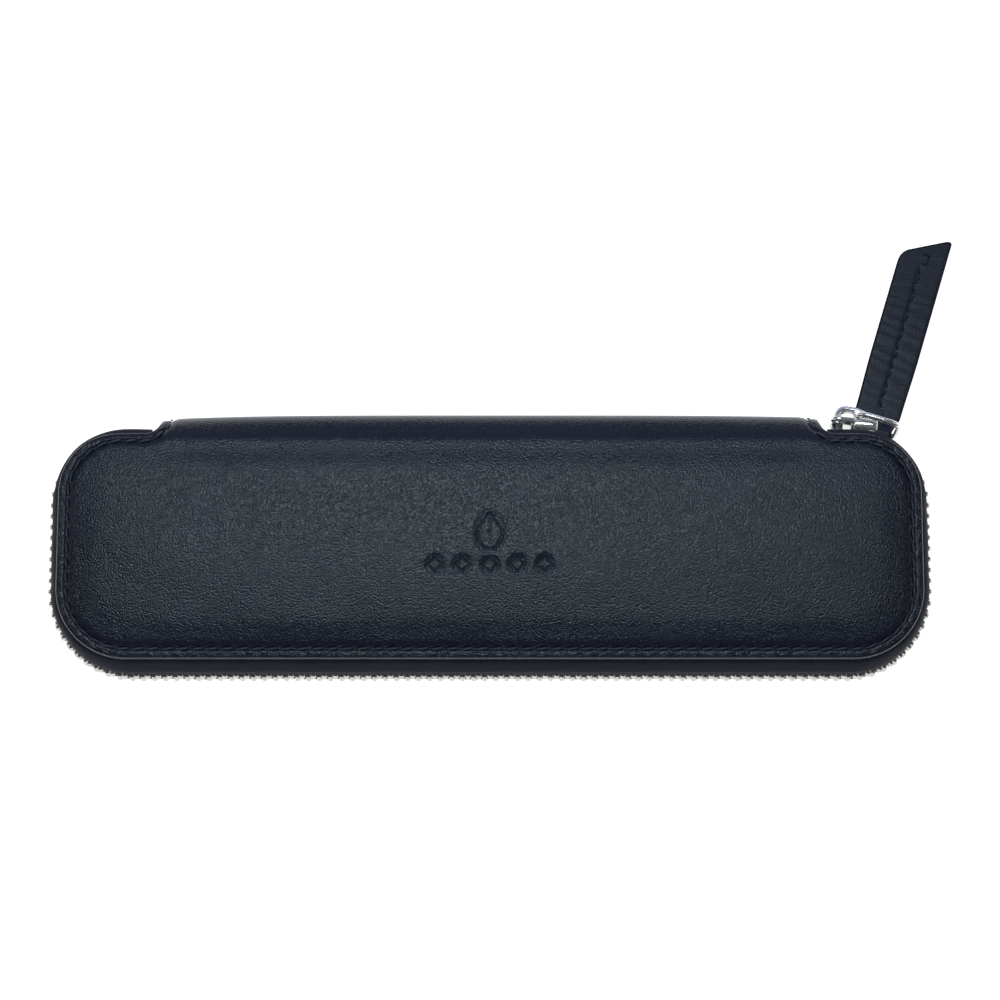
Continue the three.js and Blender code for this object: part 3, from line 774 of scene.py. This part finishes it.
def rim_table():
    """Arc length, place and outward direction round the outline, clockwise from the middle of the spine."""
    points = [(x, HALF_Y) for x in np.linspace(0, HALF_X - BACK_R, 40)]
    normals = [(0, 1)] * len(points)
    for right, back, first in ((1, 1, 90), (1, -1, 0), (-1, -1, -90), (-1, 1, -180)):
        radius = BACK_R if back > 0 else CORNER_R
        cx, cy = right * (HALF_X - radius), back * (HALF_Y - radius)
        for angle in np.radians(np.linspace(first, first - 90, 31)):
            out = (math.cos(angle), math.sin(angle))
            points.append((cx + radius * out[0], cy + radius * out[1]))
            normals.append(out)
    points = np.array(points + [(0, HALF_Y)])
    return run_length(points), points, np.array(normals + [(0, 1)])


RIM_S, RIM_P, RIM_N = rim_table()
RIM_LENGTH = RIM_S[-1]


def rim(s):
    """The place on the outline at arc length s, and its outward direction."""
    return along_line(s, RIM_S, RIM_P), unit(along_line(s, RIM_S, RIM_N))


def chain_offset(place, out):
    """How far the chain's middle stands outside the outline: most at the front, least at the back corners."""
    tucked = 0.75 if place[0] > 0 else 1.1
    corner = 2 * abs(out[0] * out[1])
    return 1.3 + 0.5 * max(-out[1], 0) ** 3 - tucked * max(out[1], 0) - 0.25 * corner


TAPE_X = SPINE_END + 0.4
TAPE_THICK = 0.55
TAPE_EDGE = MID + 0.8
SLIDER_REACH = 13.5


def make_tape(name, upper):
    """The zip's cloth: sewn in flat under the cover's edge, it bulges out and drops to the chain."""
    stations = np.append(np.arange(TAPE_X, RIM_LENGTH - TAPE_X, 1.0), RIM_LENGTH - TAPE_X)
    rings, lay = [], []
    for at in stations:
        place, out = rim(at)
        middle = chain_offset(place, out)
        wave = 0.05 * math.sin(at * 0.55) + 0.04 * math.sin(at * 0.23 + 1)
        line = [(-4.0, 18.55), (-1.6, 18.55), (-0.35, 18.4), (0.35 + wave, 17.9), (0.85 + wave, 17.0)]
        if upper and at < TAPE_X + SLIDER_REACH:
            line += [(0.95, 16.6), (0.98, 16.3), (1.0, 16.05), (1.0, 15.9)]
        else:
            line += [(middle - 0.05 + wave, 15.9), (middle, 14.6), (middle, 13.2), (middle, TAPE_EDGE)]
        line = np.array(line)
        turn = np.gradient(line, axis=0)
        side = np.c_[-turn[:, 1], turn[:, 0]] / np.hypot(*turn.T)[:, None] * TAPE_THICK / 2
        loop = np.vstack([line + side, (line - side)[::-1]])
        rings.append(np.c_[place[0] + out[0] * loop[:, 0], place[1] + out[1] * loop[:, 0], loop[:, 1]])
        run = run_length(line)
        run = np.concatenate([run, run[::-1]])
        lay.append(np.c_[np.full(len(run), at), run, np.zeros(len(run))])
    verts, faces = loft(flip(rings, upper))
    tape = mended(new_piece(name, verts, faces, TAPE, lay=np.vstack(lay)))
    return tape, float(stations[-1] - stations[0])


def superellipse(half_a, half_b, count, power):
    angles = 2 * np.pi * (np.arange(count) + 0.5) / count
    c, s = np.cos(angles), np.sin(angles)
    return np.c_[half_a * np.copysign(np.abs(c) ** (2 / power), c),
                 half_b * np.copysign(np.abs(s) ** (2 / power), s)]


TOOTH_PITCH = 2.3
TOOTH_START = mm_box("closed_end_stop")[1][0] + 0.9
TOOTH_END = RIM_LENGTH + mm_box("lower_open_end_stop")[0][0] - 1.0
PAST_SLIDER = CORNER_X + CORNER_R * math.radians(30)
# A tooth from its legs to its head: height, half width, half depth, and shift outwards.
TOOTH_RINGS = [(13.75, 0.30, 0.55, -0.2), (13.7, 0.48, 0.9, -0.1), (13.4, 0.60, 1.12, 0),
               (12.7, 0.62, 1.22, 0), (12.2, 0.56, 1.26, 0), (11.8, 0.46, 1.22, 0), (11.35, 0.48, 1.12, 0),
               (10.9, 0.58, 1.05, 0), (10.5, 0.54, 0.95, 0), (10.3, 0.32, 0.6, 0)]


def make_teeth(name, upper):
    """One row of metal teeth; the two rows are half a pitch apart."""
    stations = np.arange(TOOTH_START + (TOOTH_PITCH / 2 if upper else 0), TOOTH_END, TOOTH_PITCH)
    if upper:
        stations = stations[stations >= PAST_SLIDER]
    teeth = []
    for at in stations:
        place, out = rim(at)
        along = np.array([out[1], -out[0]])
        middle = chain_offset(place, out)
        rings = []
        for height, half_width, half_depth, shift in TOOTH_RINGS:
            ring = superellipse(half_width, half_depth, 12, 3.0)
            flat = place + np.outer(ring[:, 0], along) + np.outer(ring[:, 1] + middle + shift, out)
            rings.append(np.c_[flat, np.full(12, height)])
        teeth.append(loft(flip(rings, upper)))
    return mended(joined(name, teeth, TOOTH_METAL))


def finish(piece, body, slot, *nodes):
    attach(piece, body)
    if nodes:
        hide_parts(*nodes)


for side, body, is_upper in SIDES:
    tape, tape_length = make_tape(f"{side}_tape_cloth", is_upper)
    finish(tape, body, "zip_tape", f"{side}_zip_tape")
    finish(make_teeth(f"{side}_teeth", is_upper), body, "nickel", f"{side}_zip_chain")


# -------- small shapes

def rounded_polygon(corners, radii, steps=6):
    """A closed outline with rounded corners; radii is one size or one for each corner."""
    corners = np.array(corners, float)
    points = []
    for i, (corner, radius) in enumerate(zip(corners, np.broadcast_to(radii, len(corners)))):
        before = corners[i - 1] - corner
        after = corners[(i + 1) % len(corners)] - corner
        reach = min(radius, np.linalg.norm(before) / 2.1, np.linalg.norm(after) / 2.1)
        a, b = corner + unit(before) * reach, corner + unit(after) * reach
        for t in np.linspace(0, 1, steps + 1):
            points.append((1 - t) ** 2 * a + 2 * t * (1 - t) * corner + t * t * b)
    return np.array(points)


def tangents(outline):
    """Directions along a closed outline."""
    return unit(np.roll(outline, -1, axis=0) - np.roll(outline, 1, axis=0))


def bevelled(outline, low, high, bevel, place):
    """Extrudes an outline from low to high with rounded rims; place maps (u, v, w) to the case."""
    curve = [(0.0, 1.0), (0.12, 0.55), (0.4, 0.18), (1.0, 0.0)]
    levels = [(low + t * bevel, k * bevel) for t, k in curve]
    levels += [(high - t * bevel, k * bevel) for t, k in reversed(curve)]
    ahead = tangents(outline)
    inwards = np.c_[-ahead[:, 1], ahead[:, 0]]
    return loft([[place(u, v, w) for u, v in outline + amount * inwards] for w, amount in levels])


def bezier(points, count):
    t = np.linspace(0, 1, count)[:, None]
    a, b, c, d = (np.array(point, float) for point in points)
    return (1 - t) ** 3 * a + 3 * t * (1 - t) ** 2 * b + 3 * t * t * (1 - t) * c + t ** 3 * d


def smoothed(line):
    """Cuts the corners of an open line, twice."""
    line = np.array(line, float)
    for _ in range(2):
        near = 0.75 * line[:-1] + 0.25 * line[1:]
        far = 0.25 * line[:-1] + 0.75 * line[1:]
        inner = np.stack([near, far], axis=1).reshape(-1, line.shape[1])
        line = np.vstack([line[:1], inner, line[-1:]])
    return line


def round_strip(halves):
    """Once round a strip's section, over its face and back under it, from places on one half of its width."""
    across = [-k for k in halves[:0:-1]] + halves
    return [(k, 1) for k in across] + [(k, -1) for k in across[::-1]]


def turned(x, y, turn):
    """Maps (a, b, z) to the case from a frame that stands at (x, y), turned clockwise seen from above."""
    def place(a, b, z):
        return (x + a * math.cos(turn) + b * math.sin(turn), y - a * math.sin(turn) + b * math.cos(turn), z)
    return place


# -------- slider, bridge, ring and stops

CHAIN_R = CORNER_R + CHAIN_OUT - CHAIN_THICK / 2
SLIDER_TURN = math.radians(5.2)
SLIDER_X = CORNER_X + CHAIN_R * math.sin(SLIDER_TURN)
SLIDER_Y = CORNER_Y + CHAIN_R * math.cos(SLIDER_TURN)
RING_TURN = SLIDER_TURN + math.radians(12)
RING_BOX = mm_box("pull_ring")
WIRE_R = 0.62
RING_LOW = RING_BOX[0][2] + WIRE_R
RING_HIGH = RING_BOX[1][2] - WIRE_R
RING_WIDTH = 9.6
RING_TOP_R = 3.6
RING_FOOT_R = 1.6
slider_place = turned(SLIDER_X, SLIDER_Y, SLIDER_TURN)
ring_place = turned(*slider_place(0.4, 3.55, 0)[:2], RING_TURN)

# The slider's face, half of it, from its notched nose to its tail, and the heights of its plates and flanges.
SLIDER_FACE = [(-4.9, 3.4), (-3.6, 4.6), (-1.6, 4.35), (0.6, 3.8), (5.0, 3.8)]
SLIDER_NOTCH = (-4.35, 0)
SLIDER_PLATES = ((1.55, 2.65), (-3.35, -2.3))
SLIDER_FLANGES = ((0.15, 2.7), (-3.4, -1.9))
FLANGE_OUT = 3.72
FLANGE_THICK = 0.62
FLANGE_RINGS = [(0.05, 0.35), (0.12, 0.75), (0.35, 0.97), (0.8, 1.0), (4.1, 1.0), (4.7, 0.93), (5.02, 0.7),
                (5.1, 0.35)]
WEDGE_RINGS = [(-4.55, 0.15), (-4.3, 0.4), (-3.3, 0.72), (-2.3, 0.55), (-1.9, 0.12)]
WEDGE_DEPTH = ((-2.5, -1), (1.8, -1), (1.8, 1), (-2.5, 1))


def make_slider():
    """Two plates joined by the wedge at the nose, with flanges along both sides."""
    face = [(u, -v) for u, v in SLIDER_FACE] + SLIDER_FACE[::-1] + [SLIDER_NOTCH]
    face = rounded_polygon(face, 1.1)
    bodies = [bevelled(face, low, high, 0.34, lambda u, v, w: slider_place(u, w, MID + v))
              for low, high in SLIDER_PLATES]
    for side in (-1, 1):
        for low, high in SLIDER_FLANGES:
            rings = []
            for t, size in FLANGE_RINGS:
                section = superellipse((high - low) / 2 * size, FLANGE_THICK * size, 20, 2.1)
                rings.append([slider_place(t, (low + high) / 2 + u, MID + side * (FLANGE_OUT + v))
                              for u, v in section])
            bodies.append(loft(rings))
    wedge = [[slider_place(t, n, MID + k * half) for n, k in WEDGE_DEPTH] for t, half in WEDGE_RINGS]
    bodies.append(loft(wedge))
    return mended(joined("slider_shell", bodies, SLIDER_NICKEL_PAINTED_REFLECTION))


# Control points of two curves end to end, over the bridge and under it.
BRIDGE_OVER = [(-4.3, 2.35), (-4.15, 4.8), (-3.3, 5.9), (-1.5, 5.9), (1.6, 5.9), (4.5, 4.6), (5.0, 2.35)]
BRIDGE_UNDER = [(-2.7, 2.35), (-2.6, 3.7), (-2.0, 4.3), (-1.2, 4.3), (0.8, 4.3), (2.5, 3.6), (3.0, 2.35)]


def make_bridge():
    """The arch over the slider's front plate, widest at its feet."""
    outer, inner = (np.vstack([bezier(curve[:4], 12), bezier(curve[3:], 20)[1:]])
                    for curve in (BRIDGE_OVER, BRIDGE_UNDER))
    rings = []
    for far, near, u in zip(outer, inner, np.linspace(-1, 1, len(outer))):
        middle, reach = (far + near) / 2, (far - near) / 2
        section = superellipse(1, 1.45 + 0.45 * u * u, 18, 2.8)
        rings.append([slider_place(*(middle + reach * a), MID + b) for a, b in section])
    return lofted("slider_arch", rings, SLIDER_NICKEL_PAINTED_REFLECTION)


def make_ring():
    """The pull's wire ring, with tighter corners at its foot, where the strap wraps round it."""
    corners = [(0, RING_LOW), (RING_WIDTH, RING_LOW), (RING_WIDTH, RING_HIGH), (0, RING_HIGH)]
    line = rounded_polygon(corners, [RING_FOOT_R, RING_FOOT_R, RING_TOP_R, RING_TOP_R], 10)
    angles = 2 * np.pi * np.arange(16) / 16
    section = WIRE_R * np.c_[np.cos(angles), np.sin(angles)]
    rings = [[ring_place(a + dz * out, deep, z - da * out) for out, deep in section]
             for (a, z), (da, dz) in zip(line, tangents(line))]
    return lofted("ring_wire", rings, SLIDER_NICKEL_PAINTED_REFLECTION, closed=True)


STOP_RINGS = [(0.0, 0.6), (0.08, 0.88), (0.28, 1.0), (1.0, 1.0), (1.22, 0.88), (1.3, 0.6)]


def make_stop(name, node_name, upper):
    """A metal clip pinched over the tape's edge, after the last tooth."""
    low, high = mm_box(node_name)
    middle = HALF_Y + chain_offset((low[0], HALF_Y), (0, 1))
    bottom, top = sorted(flip([low, high], upper)[:, 2])
    rings = []
    for x, size in STOP_RINGS:
        section = superellipse(1.25 * size, (top - bottom) / 2 * (0.5 + size / 2), 16, 3.2)
        rings.append([(low[0] + x, middle + a, (top + bottom) / 2 + b) for a, b in section])
    return lofted(name, flip(rings, upper), TOOTH_METAL)


finish(make_slider(), "slider", "nickel", "slider_body")
finish(make_bridge(), "slider", "nickel", "slider_bridge")
finish(make_ring(), "ring", "nickel", "pull_ring")
for name, body, node_name in (("closed_stop_clip", "lower_case", "closed_end_stop"),
                              ("lower_stop_clip", "lower_case", "lower_open_end_stop"),
                              ("upper_stop_clip", "upper_cover", "upper_open_end_stop")):
    finish(make_stop(name, node_name, body == "upper_cover"), body, "nickel", node_name)


# -------- strap

STRAP_LENGTH = 46.8
STRAP_SLANT = 5.8
STRAP_TILT = math.radians(4.16)
STRAP_LAYER = 0.98
STRAP_WRAP_R = 1.42
STRAP_CORNERS = (1.9, 1.0)
STRAP_PITCH = 2.25
SEWN_DEPTH = 0.13
# Places across the strap's half, and how far its face drops there to round the edge.
STRAP_ACROSS = [0, 0.06, 0.12, 0.22, 0.45, 0.7, 0.8, 0.88, 0.95, 0.985, 1.0]
STRAP_DROP = {1.0: 0.62, 0.985: 0.26, 0.95: 0.07, 0.88: 0.01}
# The last stitches: place across, place along, and turn.
END_STITCHES = ((0.7, 39.7, 1.35), (1.15, 40.9, 0.2), (0.5, 41.8, -1.4))


def strap_place(a, b, c):
    """a across the strap, b along it from the ring's wire, c up through its thickness."""
    level = b * math.cos(STRAP_TILT) + c * math.sin(STRAP_TILT)
    rise = c * math.cos(STRAP_TILT) - b * math.sin(STRAP_TILT)
    return np.array(ring_place(RING_WIDTH / 2 + a, level, RING_LOW + rise))


def strap_half_width(b):
    return 3.95 + 0.95 * smooth((b - 0.8) / 3.6) + 0.25 * smooth((b - 4) / 14)


def strap_sag(a, b):
    """The strap's own gentle bend and the small waves across it, worked in by use."""
    bend = 0.22 * math.sin(math.pi * min(max(b / STRAP_LENGTH, 0), 1))
    waves = 0.035 * math.sin(2.3 * b + 0.5 * a + 1.2 * math.sin(0.8 * b)) * math.exp(-((b - 20) / 16) ** 2)
    return bend + waves


def strap_point(k, side, b, c, outward):
    """A point of the strap's skin: k across from -1 to 1, on the upper face or the lower one."""
    width = strap_half_width(b)
    sewn = smooth((b - 4.5) / 1.5) * smooth((STRAP_LENGTH - 4.6 - b) / 1.5)
    depth = STRAP_LAYER / 2 - STRAP_DROP.get(abs(k), 0.0)
    if side > 0:
        depth -= SEWN_DEPTH * sewn * math.exp(-(k * width / 0.42) ** 2)
    else:
        depth = max(depth, 0.03)
    slant = STRAP_SLANT * (1 - k) / 2 * smooth((b - 22) / (STRAP_LENGTH - 22))
    past = max(0.0, (abs(k) - 0.68) / 0.32)
    corner = STRAP_CORNERS[k > 0] * (1 - math.sqrt(1 - past ** 2)) * smooth((b - STRAP_LENGTH + 6) / 6)
    a = k * width
    lift = strap_sag(a, b) * smooth((b - 2.5) / 4)
    along, up = outward * depth * side
    return strap_place(a, b - slant - corner + along, c + up + lift)


def make_strap():
    """One strip of leather, folded round the ring's wire so that its two halves lie on each other."""
    half = STRAP_LAYER / 2
    wrap = [tuple(point) for point in arc(0, 0, STRAP_WRAP_R, 62, 298, 18)]
    run = np.concatenate([[STRAP_LENGTH], np.linspace(STRAP_LENGTH - 0.35, 2.7, 90)])
    line = [(b, half + 0.01) for b in run] + [(2.1, 0.6), (1.35, 0.9)] + wrap
    line += [(1.35, -0.9), (2.1, -0.6)] + [(b, -half - 0.01) for b in run[::-1]]
    ahead = unit(np.gradient(np.array(line), axis=0))
    turns = round_strip(STRAP_ACROSS)
    rings = [[strap_point(k, side, b, c, outward) for k, side in turns]
             for (b, c), outward in zip(line, np.c_[ahead[:, 1], -ahead[:, 0]])]
    strap = new_piece("strap_leather", *loft(rings), STRAP_LEATHER)
    strap.data.materials.append(EDGE_PAINT)
    # The painted edge: both ends of the strip, and the outermost quads of each turn.
    count = len(turns)
    for index, polygon in enumerate(strap.data.polygons):
        row, k = divmod(index, count)
        from_edge = min(k % (count // 2), count // 2 - 1 - k % (count // 2))
        painted = from_edge < 2 or k in (count // 2 - 3, count - 3)
        if row in (0, len(line) - 2) or len(polygon.vertices) > 4 or painted:
            polygon.material_index = 1
    return mended(strap)


def make_strap_stitches():
    """Two rows of slanted stitches down the middle, with a short knot before the end."""
    across, along, up = (strap_place(*axis) - strap_place(0, 0, 0) for axis in np.eye(3))
    thread = []
    for k, b in enumerate(np.arange(6.2, STRAP_LENGTH - 7.4, STRAP_PITCH)):
        for side in (1, -1):
            lean = 0.42 * side * (1 if k % 2 else -1)
            spot = strap_place(0.12 * lean, b, side * (STRAP_LAYER - 0.06) + strap_sag(0, b))
            thread.append(capsule(spot, along + lean * across, side * up, 1.85, 0.46, 0.42, arch=0.1))
    for a, b, turn in END_STITCHES:
        spot = strap_place(a, b, STRAP_LAYER - 0.02 + strap_sag(a, b))
        way = math.cos(turn) * along + math.sin(turn) * across
        thread.append(capsule(spot, way, up, 1.5, 0.46, 0.4, arch=0.1))
    return joined("strap_stitching", thread, STRAP_THREAD)


finish(make_strap(), "strap", "leather", "pull_strap")
finish(make_strap_stitches(), "strap", "leather")


# -------- interior

LINING_THICK = 0.4
SEWN_IN = 0.95


def rounded_loop(half_x, half_y, radius, d):
    """A rounded rectangle's outline, d inside it."""
    x, y, r = half_x - d, half_y - d, max(radius - d, 0.2)
    y = max(y, r)
    corners = ((x - r, y - r, 60), (r - x, y - r, 12), (r - x, r - y, 60), (x - r, r - y, 12))
    arcs = [arc(cx, cy, r, 90 * i, 90 * i + 90, 14) for i, (cx, cy, _) in enumerate(corners)]
    points = []
    for i, part in enumerate(arcs):
        points += [part, straight(part[-1], arcs[(i + 1) % 4][0], corners[i][2])[1:-1]]
    return np.vstack(points)


def panel(name, shape, place, puff):
    """A thin sewn panel with a rolled edge, a sunk line of stitches and a slightly uneven face."""
    thick, sewn = LINING_THICK, SEWN_IN
    profile = [(1.2, 0.0), (0.3, 0.0), (0.05, thick * 0.3), (0.0, thick * 0.6), (0.15, thick * 0.95),
               (0.45, thick), (sewn - 0.2, thick - 0.02), (sewn, thick - 0.14), (sewn + 0.2, thick - 0.02),
               (sewn + 0.7, thick + puff * 0.3)]
    profile += [(d, thick + puff * (0.6 + 0.4 * smooth((d - sewn) / 5)))
                for d in np.linspace(sewn + 1.6, shape[1] - 0.5, 9)]
    rings = []
    for d, h in profile:
        loop = rounded_loop(*shape, d)
        uneven = ripple(loop[:, 0] * 1.7, loop[:, 1] * 1.9) if h > thick else np.zeros(len(loop))
        rings.append([place(x, y, h + u) for (x, y), u in zip(loop, uneven)])
    sheet = lofted(name, rings, LINING)
    loop = rounded_loop(*shape, sewn)
    loop = np.vstack([loop, loop[:1]])
    length = run_length(loop)
    count = int(round(length[-1] / STITCH_PITCH))
    thread = []
    for at in (np.arange(count) + 0.5) * length[-1] / count:
        here, ahead = along_line(at, length, loop), along_line(at + 0.2, length, loop)
        spots = ((*here, thick - 0.06), (*ahead, thick - 0.06), (*here, thick + 0.94))
        a, b, c = (np.array(place(*spot)) for spot in spots)
        thread.append(capsule(a, b - a, c - a, STITCH_PITCH * 0.74, 0.42, 0.36, steps=6, around=6, arch=0.06))
    return sheet, joined(name + "_stitches", thread, THREAD)


def lay_panel(name, body, shape, place, puff, under, *nodes):
    sheet, seam = panel(name, shape, place, puff)
    finish(sheet, body, "lining", *nodes)
    finish(seam, body, "lining")


LINING_LOW, LINING_HIGH = mm_box("upper_cover_lining")
LINING_SHAPE = (LINING_HIGH[0], LINING_HIGH[1], CORNER_R - 1.2)
POCKET_LOW, POCKET_HIGH = mm_box("upper_slip_pocket")
POCKET_SHAPE = (POCKET_HIGH[0], (POCKET_HIGH[1] - POCKET_LOW[1]) / 2, 2.5)
SPINE_LOW, SPINE_HIGH = mm_box("spine_lining")
SPINE_SHAPE = (SPINE_HIGH[0], (SPINE_HIGH[2] - SPINE_LOW[2]) / 2, 1.5)


def pocket_place(x, y, h):
    """On the upper lining, with the pocket's free edge hanging slightly away from it."""
    free = max(0.0, (y + 3) / 15) ** 2 * (1 - (x / POCKET_HIGH[0]) ** 4)
    return (x, (POCKET_LOW[1] + POCKET_HIGH[1]) / 2 + y, POCKET_HIGH[2] - h - 0.12 * free)


def spine_place(x, v, h):
    return (x, SPINE_HIGH[1] - h, MID + v)


for side, body, is_upper in SIDES:
    lay_panel(f"{side}_suede_lining", body, LINING_SHAPE,
              lambda x, y, h: tuple(flip((x, y, TOP - LINING_HIGH[2] + h), not is_upper)),
              0.08, f"{side}_cover_board", f"{side}_cover_lining")
lay_panel("slip_pocket_suede", "upper_cover", POCKET_SHAPE, pocket_place, 0.06, "upper_suede_lining",
          "upper_slip_pocket")
lay_panel("spine_suede_lining", "spine", SPINE_SHAPE, spine_place, 0.06, "spine_board", "spine_lining",
          "spine_board")

LOOP_BAND = 0.9
LOOP_CENTRE, LOOP_REACH, LOOP_RISE, LOOP_SPRING = 9.2, 8.05, 5.55, 10.8
LOOP_ACROSS = [0, 0.3, 0.6, 0.92, 0.94, 0.955, 0.975, 0.992, 1]
LOOP_DROP = {1: 0.42, 0.992: 0.16, 0.975: 0.02, 0.94: 0.09, 0.955: 0.03}


def make_loops():
    """One leather band, sewn down at both ends and in the middle, which makes a loop for each pen."""
    low, (half_x, end, _) = mm_box("pen_loops")
    foot = low[2] + LOOP_BAND / 2
    far = LOOP_CENTRE + LOOP_REACH
    arch = [(LOOP_CENTRE + LOOP_REACH * a, LOOP_SPRING + LOOP_RISE * b) for a, b in arc(0, 0, 1, 0, 180, 20)]
    half_line = [(1.15, foot), (1.15, 6.5)] + arch[::-1] + [(far, 7), (far, foot), (end, foot)]
    line = smoothed([(-y, z) for y, z in half_line[::-1]] + half_line)
    ahead = unit(np.gradient(line, axis=0))
    turns = round_strip(LOOP_ACROSS)
    rings = []
    for (y, z), (dy, dz) in zip(line, ahead):
        depths = [(LOOP_BAND / 2 - LOOP_DROP.get(abs(k), 0)) * side for k, side in turns]
        rings.append([(k * half_x, y - dz * depth, z + dy * depth) for (k, _), depth in zip(turns, depths)])
    thread = []
    for y in (-end + 1.1, 0.0, end - 1.1):
        for x in np.arange(-half_x + 1.6, half_x - 1, 2.6):
            spot = np.array([x, y, foot + LOOP_BAND / 2 + 0.02])
            thread.append(capsule(spot, np.eye(3)[0], np.eye(3)[2], 1.9, 0.42, 0.36, arch=0.06))
    return lofted("pen_loop_band", rings, LOOP_LEATHER), joined("pen_loop_stitches", thread, THREAD)


loops, loop_stitches = make_loops()
finish(loops, "lower_case", "loop_leather", "pen_loops")
finish(loop_stitches, "lower_case", "loop_leather")
